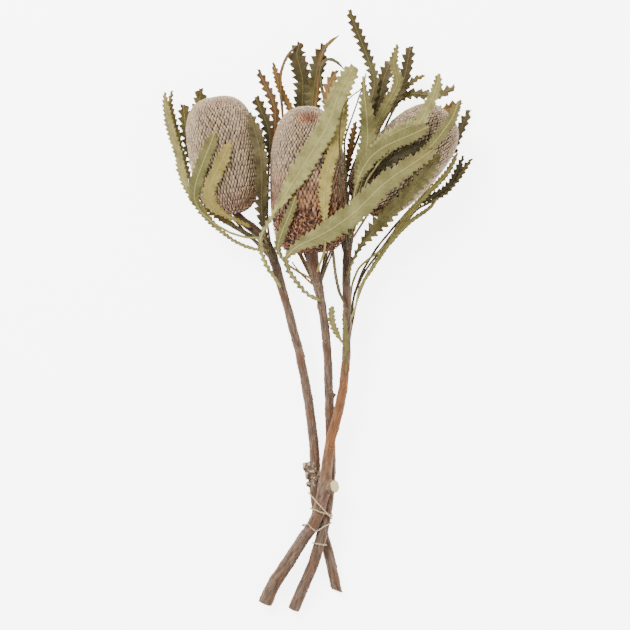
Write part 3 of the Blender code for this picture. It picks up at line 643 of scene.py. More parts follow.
# %% Blades
Blade = namedtuple("Blade", "node side width neck roll route stalk fade blunt",
                   defaults=(1.1, 0.78, 0.55))
BLADES = [
    Blade("leaf_left_gap_dark", "olive", 14, 0.62, 0, [
        (281.6, 289), (272, 258), (267, 222), (267.5, 190), (269, 160), (270, 138), (266.5, 121),
        (260.5, 109), (255.5, 96)], 1.1, 0.85, 0.25),
    Blade("leaf_left_back_top", "olive", 15, 0.72, 0, [
        (277.6, 272), (270, 258), (257, 244), (238, 224), (222, 205), (206, 188), (196, 165),
        (192, 140), (194, 116), (200, 99), (200, 88)], 1.1, 0.8, 0.35),
    Blade("leaf_left_back_blunt", "olive", 15.5, 0.60, 0, [
        (275, 263), (266, 250), (253, 238), (236, 226), (215, 209), (200, 190), (193, 165),
        (189, 145), (185.5, 128), (183, 104)], 1.1, 0.85, 0.25),
    Blade("leaf_left_edge", "olive", 9, 0.45, 10, [
        (272, 254), (258, 243), (240, 231), (219, 219), (202, 202), (193, 187), (187, 172),
        (183, 158), (179, 146), (176, 130), (172, 116), (169, 103), (172, 90)]),
    Blade("leaf_left_slip", "olive", 8.5, 0.45, 0, [
        (266.5, 243), (250, 234), (232, 224), (216, 215), (204, 207)]),
    Blade("leaf_middle_back_left", "olive", 21, 0.62, 0, [
        (325, 331), (321, 300), (308, 262), (291, 218), (288, 180), (292, 150), (298, 128),
        (302, 110), (303, 95), (303, 80), (300, 66), (296, 54), (300, 42)], 1.1, 0.8, 0.4),
    Blade("leaf_middle_back_right", "olive", 18, 0.64, 0, [
        (323.5, 321), (321, 285), (325, 250), (327, 210), (325, 170), (318, 135), (313, 112),
        (313, 98), (315, 83), (317, 70), (319, 57), (324, 44)], 1.1, 0.8, 0.4),
    Blade("leaf_left_back_tall", "pale", 8.5, 0.64, 0, [
        (321.8, 311), (314, 280), (301, 254), (291, 225), (289, 190), (291, 150), (293, 125),
        (291, 109), (285, 98), (280, 88), (276.5, 76), (273, 62)]),
    Blade("leaf_left_arched_tip", "brown", 3.2, 0.7, 0, [
        (321, 305), (310, 276), (297, 250), (284, 222), (280, 190), (281, 150), (283, 120),
        (281, 95), (280, 76), (283, 64), (288, 54), (296, 45)]),
    Blade("leaf_middle_thin_tip", "pale", 4.5, 0.66, 0, [
        (320.5, 301), (316, 270), (313, 238), (312, 200), (312, 160), (313, 125), (317, 95),
        (319, 72), (321, 54), (328, 43), (339, 35)]),
    Blade("leaf_middle_arched_tip", "olive", 3.6, 0.66, 0, [
        (319.5, 292), (322, 268), (332, 238), (334, 200), (332, 150), (328, 112), (322, 88),
        (319, 71), (323, 60), (331, 58), (338, 62), (344, 69)]),
    Blade("leaf_middle_back_small", "brown", 13, 0.76, 0, [
        (318.5, 283), (326, 262), (337, 236), (340, 205), (338, 165), (333, 125), (328, 105),
        (327, 91), (332, 79), (337, 70)]),
    Blade("leaf_left_gap_brown", "brown", 11.5, 0.56, 0, [
        (316.5, 274), (302, 258), (281, 232), (273, 205), (271, 165), (274, 137), (276, 113),
        (273, 101), (268, 90.6), (263, 80), (258, 69)]),
    Blade("leaf_right_back_tip", "olive", 11, 0.77, 0, [
        (347.5, 360), (351, 325), (354, 295), (363, 270), (378, 246), (399, 221), (423, 195),
        (441, 171), (453, 151), (458, 137), (464, 122), (470, 109)], 1.1, 0.85, 0.3),
    Blade("leaf_right_outer_small", "brown", 8, 0.70, 10, [
        (348, 350), (352, 325), (357, 300), (366, 278), (385, 251), (403, 226), (418, 208),
        (430, 202), (440, 196), (448, 190), (456, 181), (463, 171), (468, 163), (473, 158)]),
    Blade("leaf_right_outer_brown", "brown", 9, 0.60, 10, [
        (348, 340), (350, 318), (354, 296), (363, 274), (382, 248), (400, 223), (414, 206),
        (425, 200), (437, 194), (445, 189), (452, 182), (458, 170), (464, 155)]),
    Blade("leaf_right_under_edge", "pale", 7.5, 0.38, 8, [
        (348.5, 329), (350, 305), (352, 284), (359, 267), (371, 257), (380, 251), (389, 243),
        (397, 230), (406, 217), (417, 204), (425, 195), (435, 186), (445, 176), (452, 165),
        (458, 152)]),
    Blade("leaf_right_back_end", "brown", 14, 0.79, 0, [
        (346.8, 318), (346.5, 285), (347.5, 255), (350, 236), (354, 216), (364, 188),
        (380, 155), (405, 124), (431, 113), (447, 110), (462, 102)], 1.1, 0.85, 0.3),
    Blade("leaf_right_crown", "olive", 12, 0.62, 0, [
        (346.5, 308), (346, 280), (347, 258), (349, 236), (351, 216), (357, 190), (370, 158),
        (380, 128), (386, 109), (395, 98), (407, 93), (418, 93), (430, 95), (443, 93), (455, 86)],
        1.1, 0.85, 0.3),
    Blade("leaf_right_back_small", "olive", 8, 0.78, 0, [
        (346.5, 298), (346, 270), (348, 240), (349, 218), (353, 192), (366, 163), (382, 134),
        (394, 108), (404, 89), (414, 79), (425, 75)]),
    Blade("leaf_right_back_olive", "olive", 14.5, 0.71, 0, [
        (346.3, 288), (346, 262), (347, 236), (347, 214), (349, 192), (360, 164), (374, 138),
        (389, 112), (400, 90), (406, 74), (408, 60), (411, 46)], 1.1, 0.85, 0.25),
    Blade("leaf_right_back_dark", "olive", 16, 0.64, 0, [
        (346.2, 278), (346, 252), (345, 224), (345, 195), (353, 165), (366, 138), (376, 112),
        (381, 94), (384, 78), (391, 60)], 1.1, 0.85, 0.25),
    Blade("leaf_right_tall", "olive", 13, 0.50, 8, [
        (346.2, 268), (345, 250), (342, 226), (341, 198), (347, 165), (358, 138), (368, 110),
        (374, 92), (375, 80), (372, 68), (367, 55), (362, 42), (356, 28), (349, 10)], 1.1, 0.8, 0.35),
    Blade("leaf_right_rust", "brown", 9, 0.52, 0, [
        (345.2, 257), (341.2, 241), (341, 216), (344.5, 190), (347.5, 170), (350, 150), (353, 134),
        (356, 121)]),
    Blade("leaf_right_long", "pale", 5.5, 0.10, 20, [
        (351, 319), (355, 309), (357, 300), (359, 289), (365, 279), (374, 265), (385, 249),
        (393, 239), (403, 228), (412, 220), (422, 213), (430, 208), (437, 199)]),
    Blade("leaf_left_outer", "pale", 11.5, 0.16, 25, [
        (270, 251), (258, 250), (244, 246), (231, 239), (217, 228), (205, 215), (195, 200),
        (186, 185), (181, 170), (179, 157), (175, 143), (170.5, 130), (167.5, 117), (165.5, 104),
        (164.5, 92)], 2.4),
    Blade("leaf_left_stalk", "brown", 2.4, 0.0, 0, [
        (263, 240.5), (254, 234), (245, 227.5), (236, 220)]),
    Blade("leaf_left_gap_olive", "olive", 19, 0.12, -28, [
        (275, 262), (267.5, 244), (263, 224), (262, 205), (262.5, 185), (262.5, 165),
        (259.5, 147), (255, 130), (250, 113)], 3.6),
    Blade("leaf_left_front_edge", "pale", 16, 0.40, 0, [
        (262, 238), (247, 238), (230, 233), (213, 223), (200, 211), (194, 199), (196, 184),
        (202, 167), (209, 150), (215.5, 133)]),
    Blade("leaf_left_front", "pale", 15, 0.18, 0, [
        (251, 227), (240, 222), (226, 215.5), (213, 207), (208.5, 195), (213, 181), (220, 167),
        (226, 154), (230, 143)], 3.3),
    Blade("leaf_middle_narrow", "pale", 11, 0.30, 0, [
        (312, 279), (298, 272), (284, 262), (277, 249), (281, 236), (286, 224), (291, 212),
        (296, 197)]),
    Blade("leaf_middle_front_right", "pale", 15, 0.18, -8, [
        (317, 272), (325, 250), (325, 222), (324, 205), (325, 190), (327, 174), (331, 160),
        (336, 146), (340, 130), (343, 113), (345, 98)]),
    Blade("leaf_middle_front", "pale", 23, 0.30, 6, [
        (281, 287), (271, 273), (263, 259), (260, 245), (263, 232), (271, 219), (280, 205),
        (289, 190), (297, 177), (306, 163), (314, 150), (322, 137), (329, 124), (334, 109),
        (339, 95), (346, 82), (354, 68)], 3.4, 0.78, 0.3),
    Blade("leaf_right_twig", "brown", 2.6, 0.0, 0, [
        (348, 244), (348, 205), (345, 170), (344, 142), (348, 129), (352, 118), (356, 107),
        (359, 97), (363, 87), (366, 74)]),
    Blade("leaf_right_twig_short", "brown", 2.2, 0.0, 0, [
        (347, 250), (343, 215), (340, 175), (339, 135), (341, 114), (345, 104), (352, 97),
        (361, 91)]),
    Blade("leaf_right_shadow", "olive", 12, 0.30, 0, [
        (352, 232), (353, 214), (357, 196), (364, 180), (380, 166), (402, 154), (428, 143)]),
    Blade("leaf_right_gap_tall", "pale", 12, 0.24, -6, [
        (350, 238), (354, 207), (360, 172), (368, 143), (373, 131), (379, 119), (385, 108),
        (391, 97), (397, 87), (398, 79), (395, 71), (393, 62), (395, 54), (397, 45)]),
    Blade("leaf_right_gap_pale", "pale", 20, 0.14, 6, [
        (350, 226), (352, 208), (356, 190), (361, 172), (365, 156), (368, 141), (367, 126),
        (366, 112), (364, 98), (363, 78)], 1.1, 0.42, 0.82),
    Blade("leaf_right_front_upper", "pale", 14, 0.34, 0, [
        (352, 232), (357, 200), (364, 172), (374, 151), (386, 139), (398, 132), (411, 127),
        (425, 117)]),
    Blade("leaf_right_front_rise", "pale", 13, 0.48, -6, [
        (354, 232), (358, 206), (367, 180), (381, 160), (398, 146), (412, 134), (421, 122), (427, 109),
        (433, 97), (437, 86), (438, 75)]),
    Blade("leaf_right_front_end", "pale", 13, 0.46, 0, [
        (353, 238), (373, 206), (402, 174), (431, 147), (443, 132), (452, 119), (458, 103)]),
    Blade("leaf_right_broad", "olive", 19, 0.16, -8, [
        (346, 284), (350, 266), (359, 248), (373, 230), (389, 213), (404, 198), (418, 183),
        (431, 168), (439, 155)], 3.2),
    Blade("leaf_right_front_zigzag", "pale", 17, 0.24, 4, [
        (353, 228), (353, 208), (355, 190), (361, 172), (371, 157), (384, 147.5), (400, 140.5),
        (415, 134), (428, 128)]),
    Blade("leaf_middle_slip", "brown", 2.6, 0.0, 0, [
        (321, 282), (326, 268), (331, 257), (334, 247)]),
    Blade("leaf_middle_stalk", "brown", 2.4, 0.0, 0, [
        (312, 284), (302, 275), (296, 268), (292, 262)]),
    Blade("leaf_right_low", "pale", 8.5, 0.10, 0, [
        (345, 346), (336, 333), (331, 319), (332, 306)]),
    Blade("leaf_right_low_thin", "olive", 3.4, 0.0, 0, [
        (346, 306), (339, 292), (336, 278), (334, 264), (333, 249)]),
    Blade("leaf_right_scale", "pale", 6, 0.0, 0, [
        (346, 374), (346.5, 358), (346, 342), (345, 326), (344, 312)]),
    Blade("leaf_middle_front_large", "pale", 25, 0.20, 0, [
        (321, 301), (308, 295), (297, 283), (288, 270), (285, 258), (297, 247), (312, 240),
        (328, 232), (343, 222), (356, 212), (369, 199), (381, 187), (395, 176), (409, 167),
        (421, 159), (433, 150)], 3.6, 0.40, 0.45),
]

print("blades:", len(BLADES))

# %% [markdown]
# ## One blade
# The solid has a coarse tooth about every 13 mm. The blade here has one every 5 to 7 mm, each a
# small triangle that points forward, and a raised midrib. A grid of rows along the route gives
# that: five rows make a tooth, and the columns run from edge to edge. The two sides' teeth are
# half a step apart. A Solidify modifier gives the blade its thickness, and its other face takes
# the leaf's other finish. A blade's height is kept under the bunch's own top and off the table.

# %% Leaf geometry
ROWS_A_TOOTH = 5
TOOTH_TIP = 0.6
TWIG_WIDTH = 3.0
BARE_HALF = 1.65
FOOT_HALF = 1.1
FOOT_END = 0.10
SOLID_THICKNESS = 0.9
LEAF_THICKNESS = 0.5
LOWEST = 0.5
BLADE_FOLD = 0.12
ABOVE_ALL = 200
FIRST_GUESS = 40
HEIGHT_ROUNDS = 6
RISE_OVER = 0.35
STALK_STEP = 3.0
SHORT_NECK = 0.04
WAVE_HEIGHT = 0.10
WAVE_TEETH = 4.3
TIP_FROM = 0.97
TWIG_SIDES = 8
TWIG_STEP = 2.0
LEAF_SEED = 31

# Depth of a tooth: a start, what it gains with the blade's width, and the most, as a share of
# that width.
PALE_DEPTH = (1.5, 0.06, 0.22)
OTHER_DEPTH = (2.3, 0.12, 0.3)
# Pale blades whose stalks get painted shade: they lie in the dark gap under their neighbours.
SHADE_PAINTED_STALKS = ("leaf_right_front_end", "leaf_right_front_rise", "leaf_right_front_upper")
COLUMN_SHARES = (-1.0, -0.78, -0.45, -0.16, -0.05, 0.0, 0.05, 0.16, 0.45, 0.78, 1.0)


def blade_heights(node, line):
    """Height of the solid's middle layer under each point of a line, on the sheet."""
    mesh = node.data
    tree = BVHTree.FromPolygons([vertex.co for vertex in mesh.vertices],
                                [face.vertices for face in mesh.polygons])
    heights = []
    for x, y in line:
        above = Vector(to_frame([(x, y, ABOVE_ALL)])[0])
        hit = tree.ray_cast(above, Vector((0, 0, -1)))[0]
        if hit is None:
            guess = heights[-1] if heights else FIRST_GUESS
            hit = tree.find_nearest(Vector(to_frame([(x, y, guess)])[0]))[0]
        heights.append(hit.z / MM - SOLID_THICKNESS / 2)
    heights = np.array(heights)
    for _ in range(HEIGHT_ROUNDS):
        heights[1:-1] = 0.5 * heights[1:-1] + 0.25 * (heights[:-2] + heights[2:])
    return heights


def blade_half(blade, share):
    """Half the blade's width without its teeth, at a share of its length."""
    leafy = np.clip((share - blade.neck) / (1 - blade.neck), 0, 1)
    rise = np.clip(leafy / RISE_OVER, 0, 1)
    end = np.clip((leafy - blade.fade) / (1 - blade.fade), 0, 1)
    full = 3 * rise ** 2 - 2 * rise ** 3
    stalk = FOOT_HALF + (blade.stalk - FOOT_HALF) * np.clip(share / FOOT_END, 0, 1)
    return (stalk + (blade.width / 2 - stalk) * full) * (1 - blade.blunt * end ** 2)


def tooth_pitch(blade):
    """Length of one tooth: long on broad blades and on upper sides, short on small pale ones."""
    if blade.side == "pale":
        return 4.7 if blade.width < 18 else 6.2
    return 5.4 if blade.width < 10 else 7.3


def tooth_cut(phase):
    """How deep the margin is cut at a place in one tooth: 1 at the notch, 0 at the tip."""
    phase = phase % 1.0
    return 1 - phase / TOOTH_TIP if phase < TOOTH_TIP else (phase - TOOTH_TIP) / (1 - TOOTH_TIP)


def add_blade(blade, chance):
    """A toothed blade that lies on its solid."""
    line = soft_route(blade.route, 1.0)
    node = nodes[blade.node]
    heights = blade_heights(node, line)
    run = np.concatenate([[0], np.cumsum(np.hypot(*np.diff(line, axis=0).T))])
    length = run[-1]
    pitch = tooth_pitch(blade)
    start, gain, most = PALE_DEPTH if blade.side == "pale" else OTHER_DEPTH
    depth = min(start + gain * blade.width, most * blade.width)
    bare = length * (blade.neck if blade.stalk < BARE_HALF else min(blade.neck, SHORT_NECK))
    places = np.concatenate([np.arange(0, bare, STALK_STEP),
                             np.arange(bare, length, pitch / ROWS_A_TOOTH), [length]])
    ahead = directions(line)
    middle = np.column_stack([np.interp(places, run, column) for column in (*line.T, heights)])
    forward = np.column_stack([np.interp(places, run, column) for column in ahead.T])
    tilt = math.cos(math.radians(blade.roll))
    slope = math.tan(math.radians(blade.roll))
    wave = WAVE_HEIGHT * blade.width
    turn = chance.uniform(0, math.tau)
    tint = chance.random()
    highest = solid_box[1][2] / MM - LEAF_THICKNESS
    points, marks, rims, stalks = [], [], [], []
    for row, place in enumerate(places):
        share = place / length
        half = float(blade_half(blade, share))
        x, y, z = middle[row]
        curl = wave * math.sin(math.tau * place / (pitch * WAVE_TEETH) + turn) * min(1, half / 4)
        for column in COLUMN_SHARES:
            side = 1 if column > 0 else -1
            phase = (place - bare) / pitch + (0.5 if side > 0 else 0.0)
            toothed = min(1, max(0, half - 1.2) / 2.2) if place > bare else 0
            cut = min(half * 0.6, tooth_cut(phase) * depth * toothed)
            jitter = 1 - 0.2 * noise.noise(Vector((place * 0.23, side * 7.1, tint * 50)))
            reach = half * jitter - cut
            if share > TIP_FROM:
                reach *= 1 - 0.5 * (share - TIP_FROM) / 0.03
            across = column * max(0.5, reach) * tilt
            push = (1 - tooth_cut(phase)) * 0.25 * pitch * abs(column) ** 3 * toothed
            lift = across * slope + abs(across) * BLADE_FOLD
            lift += curl * column ** 2 + 0.3 * (1 - min(1, abs(across) / 0.7))
            ahead_x, ahead_y = forward[row]
            points.append((x - ahead_y * across + ahead_x * push,
                           y + ahead_x * across + ahead_y * push,
                           min(max(LOWEST, z + lift), highest)))
            marks.append((place, across, tint))
            rims.append((share, abs(column) * min(1, half / 3), pitch))
            # Thin stalks are darkened: on olive and brown sides for their own colour, on the listed pale
            # blades as painted shade.
            dead_stalk_and_painted_shade = blade.side != "pale" or blade.node in SHADE_PAINTED_STALKS
            thin = min(1, max(0, 2.6 - half)) if dead_stalk_and_painted_shade else 0
            stalks.append((thin if share < 0.8 else 0, 0, 0))
    faces = np.array(grid_faces(len(places), len(COLUMN_SHARES), False))
    points = to_frame(points)
    corners = points[faces[:, :3]]
    upright = np.cross(corners[:, 1] - corners[:, 0], corners[:, 2] - corners[:, 0])[:, 2].sum()
    if upright < 0:
        faces = faces[:, ::-1]
    piece = add_piece(blade.node.replace("leaf", "blade", 1), points, faces, blade_looks(blade),
                      [blade.node],
                      {"blade": marks, "rim": rims, "stalk": stalks})
    solid = piece.modifiers.new("thickness", "SOLIDIFY")
    solid.thickness = LEAF_THICKNESS * MM
    solid.offset = 0
    solid.material_offset = 1
    return len(faces) * 4


def add_twig(blade):
    """A bare stalk, as a round tapering twig."""
    line = soft_route(blade.route, TWIG_STEP)
    heights = blade_heights(nodes[blade.node], line)
    centre = np.column_stack([line, heights])
    ahead = directions(centre)
    points, marks, rims = [], [], []
    for number, (spot, way) in enumerate(zip(centre, ahead)):
        share = number / (len(centre) - 1)
        across = np.cross(way, (0, 0, 1))
        across /= np.linalg.norm(across)
        up = np.cross(across, way)
        thick = blade.width / 2 * (1 - 0.45 * share) * (1 + 0.2 * noise.noise(Vector(spot) * 0.25))
        for step in range(TWIG_SIDES):
            angle = math.tau * step / TWIG_SIDES
            points.append(spot + across * thick * math.cos(angle) + up * thick * math.sin(angle))
            marks.append((share * 100, math.cos(angle) * 3, 0.4))
            rims.append((share, 0.3, 4.0))
    faces = grid_faces(len(centre), TWIG_SIDES, True)
    last = len(points) - TWIG_SIDES
    faces += [tuple(range(TWIG_SIDES))[::-1], tuple(last + spot for spot in range(TWIG_SIDES))]
    points = to_frame(points)
    faces = [face[::-1] for face in faces]
    add_piece(blade.node.replace("leaf", "blade", 1), points, faces, blade_looks(blade),
              [blade.node], {"blade": marks, "rim": rims})
    return len(faces) * 2


chance = random.Random(LEAF_SEED)
leaf_faces = 0
for blade in BLADES:
    leaf_faces += add_twig(blade) if blade.width <= TWIG_WIDTH else add_blade(blade, chance)
print("leaf triangles:", leaf_faces)

# %% [markdown]
# ## Bark
# The stems are woody, grey-brown and ridged lengthwise, with the scars of fallen leaves. The
# solid already has the route, the girth, the nodes and the sawn shoots, so the bark is the
# solid's own shape made finer: a copy is remeshed to under a millimetre, smoothed round and
# pushed in and out by noise that is stretched along the stem. How far along the stem a point is
# comes from the nearest point of the route. The push is stronger round the left stem's gall,
# which gets knobs with pale specks. The sawn side shoot and the cut ends stay smooth and show bare wood. The
# left stem's cut end is slanted, and each stem's upper end is drawn into its head, so that no
# gap shows between the bark and the florets.

# %% Bark finish
def bark_finish():
    bark = Finish("bark", 0.9, Specular_IOR_Level=0.25)
    off_x, off_z, along = bark.mark("grain")
    # The wear mark carries the reddish stretch, the cut ends and the push; the push also sets painted shade
    # in the bark's hollows.
    warm, cut, crest = bark.mark("wear")
    dark, sawn, speck = bark.mark("shade")
    streak = bark.noise(bark.vector(off_x * 0.5, off_z * 0.5, along * 0.05), 1.4, 5.0, 0.65)
    patch = bark.noise(bark.vector(off_x * 0.12, off_z * 0.12, along * 0.03), 1.2, 3.0)
    fleck = bark.noise(bark.place(), 700.0, 3.0, 0.7)
    tone = bark.mix(streak.between(0.3, 0.7), paint(66, 52, 42), paint(118, 98, 82))
    tone = bark.mix(patch.between(0.46, 0.64) * 0.6, tone, paint(98, 64, 46))
    tone = bark.mix(warm * 0.8, tone, bark.mix(streak, paint(88, 54, 32), paint(140, 92, 58)))
    tone = bark.mix(fleck.between(0.55, 0.8) * 0.35, tone, paint(138, 124, 104))
    # Painted shade: darker where the bark is pushed in, in its cracks and the hollows of the leaf scars.
    tone = bark.mix((1 - crest.between(-0.5, 0.1)) * 0.55, tone, paint(52, 40, 32))
    # Darker upper bark: partly its own colour, partly painted shade under the leaves and the head.
    tone = bark.mix(dark, tone, bark.mix(streak, paint(38, 30, 24), paint(74, 58, 44)))
    tone = bark.mix(speck * 0.7, tone, paint(176, 158, 130))
    wood = bark.mix(fleck, paint(112, 88, 62), paint(150, 124, 90))
    fresh = bark.mix(fleck, paint(172, 152, 108), paint(200, 182, 136))
    bark.colour(bark.mix(sawn, bark.mix(cut, tone, wood), fresh))
    bark.relief(streak * 0.8 + fleck * 0.4, 0.5)
    return bark


bark = bark_finish()

# The joint is where the upper end meets its head. Warm is the stretch of reddish bark, and over
# the stretch named dark the darkened upper bark fades out, both as places down the sheet. That
# darkening is partly the bark's own darker colour and partly painted shade, where the bark lies
# under the leaves and the head. Depth is how dark that bark is, and slant how far the cut end leans.
Stem = namedtuple("Stem", "node joint warm dark depth slant route")
STEMS = [
    Stem("stem_left", (233, 210, 32.6), (0, 1), (262, 290), 0.8, 0.7, [
        (237, 217.4, 32.6), (242, 220, 32.6), (249, 225, 32.4), (257, 231.5, 32),
        (265, 240.5, 31.5), (271.5, 252, 31), (276.5, 268, 29.8), (280.5, 284, 28.2),
        (285.5, 300, 26.5), (293, 329, 23), (300, 355, 20), (306, 386, 16.5),
        (310.5, 415, 13), (314, 443, 10.5), (315, 466, 9.2), (315, 500, 9.2), (322, 530, 9),
        (330, 560, 7.4), (337, 592, 5.5)]),
    Stem("stem_middle", (311.4, 249, 46.2), (0, 1), (0, 1), 0.0, 0.0, [
        (311.6, 254, 46.2), (312.5, 262, 46), (316.3, 276, 44), (320.5, 298, 40),
        (325.4, 329, 34), (327.7, 357, 29), (329, 392, 22), (330, 420, 18), (330.6, 443, 20),
        (331, 472, 20), (328, 505, 21), (323, 532, 21), (313, 566, 14), (293, 611, 6.1)]),
    Stem("stem_right", (362.5, 205.5, 34.1), (345, 475), (270, 305), 0.4, 0.0, [
        (359.7, 208.9, 34.1), (353.5, 216, 34.2), (349, 234, 34.5), (347, 255, 34.6),
        (346.3, 275, 34.3), (346.7, 300, 33), (347, 323, 32), (346.7, 346, 30), (345.5, 369, 28),
        (342.7, 392, 28), (338, 415, 29), (331, 438, 30), (326.6, 466, 31), (325, 487, 31),
        (320, 507, 30), (315, 523, 27), (302, 541, 22), (287.5, 564, 16), (272, 587, 11),
        (264.7, 605, 7.6)]),
]
print("stems:", [stem.node for stem in STEMS])


# %% Bark geometry
BARK_STEP = 0.85
BARK_DEPTH = 0.6
JOINT_REACH = 14.0
GALL = (308.5, 475.0, 12.0)
GALL_REACH = 13.0
SAWN_FACE = (334.8, 486.2, 34.6)
SAWN_SIDE = (7.8, 1.3, 8.6)
SAWN_REACH = 8.5
SMOOTH_ROUNDS = 14
SCAR_COUNT = 26
SCAR_REACH = 5
END_MARGIN = 20
SLANT_REACH = 9
WARM_SPREAD = 0.62
KNOB_HEIGHT = 1.3
KNOB_TOP = 0.18
BARK_SEED = 12


def finer_copy(node):
    """The solid's points and faces, remeshed and smoothed round."""
    rough = bpy.data.objects.new("rough", node.data.copy())
    bpy.context.scene.collection.objects.link(rough)
    remesh = rough.modifiers.new("remesh", "REMESH")
    remesh.mode = "VOXEL"
    remesh.voxel_size = BARK_STEP * MM
    smooth = rough.modifiers.new("smooth", "SMOOTH")
    smooth.factor = 0.5
    smooth.iterations = SMOOTH_ROUNDS
    shown = rough.evaluated_get(bpy.context.evaluated_depsgraph_get())
    fine = bpy.data.meshes.new_from_object(shown)
    bpy.data.objects.remove(rough)
    points = np.zeros(len(fine.vertices) * 3)
    fine.vertices.foreach_get("co", points)
    normals = np.zeros(len(fine.vertices) * 3)
    fine.vertices.foreach_get("normal", normals)
    faces = [tuple(face.vertices) for face in fine.polygons]
    bpy.data.meshes.remove(fine)
    return points.reshape(-1, 3), normals.reshape(-1, 3), faces


def add_bark(stem, chance):
    """A stem with ridged bark, scars and cut ends."""
    points, normals, faces = finer_copy(nodes[stem.node])
    route = to_frame(soft_route(stem.route, 1.0)) / MM
    run = np.concatenate([[0], np.cumsum(np.linalg.norm(np.diff(route, axis=0), axis=1))])
    scars = [(chance.uniform(END_MARGIN, run[-1] - END_MARGIN), chance.uniform(0, math.tau))
             for _ in range(SCAR_COUNT)]
    gall = to_frame([GALL])[0] / MM
    face = to_frame([SAWN_FACE])[0] / MM
    facing = np.array(SAWN_SIDE) / np.linalg.norm(SAWN_SIDE)
    foot_way = (route[-1] - route[-6]) / np.linalg.norm(route[-1] - route[-6])
    into_head = to_frame([stem.joint])[0] / MM - route[0]
    moved, grains, wears, shades = [], [], [], []
    for point, normal in zip(points / MM, normals):
        nearest = int(np.argmin(((route - point) ** 2).sum(axis=1)))
        off = point - route[nearest]
        along = run[nearest]
        ridge = noise.fractal(Vector((off[0] * 0.42, off[2] * 0.42, along * 0.075)), 0.7, 2.1, 4)
        crack = abs(noise.noise(Vector((off[0] * 0.8, off[2] * 0.8, along * 0.12 + 40))))
        push = BARK_DEPTH * ridge - 0.25 * max(0, 0.25 - crack)
        angle = math.atan2(off[2], off[0])
        for place, turn in scars:
            if abs(along - place) < SCAR_REACH:
                apart = math.hypot(along - place, 4.5 * math.sin((angle - turn) / 2) * 2)
                rim = 0.55 * math.exp(-((apart - 1.9) / 0.8) ** 2)
                push += rim - 0.4 * math.exp(-(apart / 1.2) ** 2)
        end = min(along, run[-1] - along)
        lately = route[nearest] - route[max(0, nearest - 3)]
        cut = 1.0 if end < 0.5 and abs(normal @ lately) > 2 else 0.0
        sheet_y = SHEET_CENTRE[1] - point[1]
        warm = max(0.0, 1 - abs(sheet_y - sum(stem.warm) / 2) / (
            (stem.warm[1] - stem.warm[0]) * WARM_SPREAD))
        from_gall = np.linalg.norm(point - gall)
        knobs = noise.noise(Vector(point) * 0.42)
        speck = 0.0
        if from_gall < GALL_REACH:
            push += KNOB_HEIGHT * knobs * (1 - from_gall / GALL_REACH)
            speck = 1.0 if knobs > KNOB_TOP and normal[2] > 0 else 0.0
        off_face = point - face
        sawn = 1.0 if np.linalg.norm(off_face) < SAWN_REACH and normal @ facing > 0.93 else 0.0
        # The darker bark and painted shade of the upper stem, fading out down the sheet.
        dark = stem.depth * min(1, max(0, (stem.dark[1] - sheet_y) / (stem.dark[1] - stem.dark[0])))
        slant = stem.slant * off[0] * min(1, max(0, 1 - (run[-1] - along) / SLANT_REACH))
        sunk = into_head * max(0, 1 - along / JOINT_REACH) ** 2
        rough = normal * push * (1 - max(cut, sawn))
        moved.append((point + rough + foot_way * slant + sunk) * MM)
        grains.append((off[0], off[2], along))
        # The push goes along too, for the painted shade in the bark's hollows.
        wears.append((min(1, warm * 1.6), cut, push))
        shades.append((dark, sawn, speck))
    moved = np.array(moved)
    moved[:, 2] = np.maximum(moved[:, 2], 0)
    piece = add_piece(stem.node.replace("stem", "bark"), moved, faces, [bark], [stem.node],
                      {"grain": grains, "wear": wears, "shade": shades})
    print(piece.name, "faces:", len(faces))


chance = random.Random(BARK_SEED)
for stem in STEMS:
    add_bark(stem, chance)

# %% [markdown]
# ## Twine
# The tie is thin cream cord of three plies. Each solid turn is a plain closed tube, so its middle
# is found by sorting its points round their centre, and three strands are swept round that line,
# one third of a turn apart. The third turn sags on its upper side into a shallow V, and lies on
# the stems that it crosses.

# %% Twine finish
def twine_finish():
    cord = Finish("twine", 0.9, Sheen_Weight=0.2)
    fibre = cord.noise(cord.place(), 1600.0, 3.0, 0.7)
    cord.colour(cord.mix(fibre, paint(140, 118, 84), paint(200, 180, 140)))
    cord.relief(fibre, 0.15)
    return cord


cord = twine_finish()
STRANDS = 3
STRAND_RADIUS = 0.30
LAY_RADIUS = 0.32
LAY_LENGTH = 3.4
STRAND_SIDES = 6
STRAND_STEP = 0.5
LEAST_RINGS = 8
OVER_BARK = 1.1

# How far the third turn sags down the sheet, at places across it.
V_LOOP = ((308, 311, 316, 324, 332), (-3, 1, 6, 2.5, 0))


def turn_middle(node):
    """The closed middle line of a turn of twine, in millimetres."""
    points = np.array([vertex.co for vertex in node.data.vertices]) / MM
    centre = points.mean(axis=0)
    across = np.linalg.svd(points - centre)[2]
    flat = (points - centre) @ across[:2].T
    angles = np.arctan2(flat[:, 1], flat[:, 0])
    order = np.argsort(angles)
    rings = np.array_split(points[order], max(LEAST_RINGS, len(points) // STRAND_SIDES))
    line = np.array([ring.mean(axis=0) for ring in rings])
    line = np.vstack([line, line[:1]])
    run = np.concatenate([[0], np.cumsum(np.linalg.norm(np.diff(line, axis=0), axis=1))])
    places = np.linspace(0, run[-1], round(run[-1] / STRAND_STEP), endpoint=False)
    middle = np.column_stack([np.interp(places, run, column) for column in line.T])
    return middle, run[-1], across[2]


def stem_shapes():
    """Points and faces of the three stems together."""
    points, faces = [], []
    for stem in STEMS:
        mesh = nodes[stem.node].data
        faces += [[corner + len(points) for corner in face.vertices] for face in mesh.polygons]
        points += [vertex.co for vertex in mesh.vertices]
    return points, faces


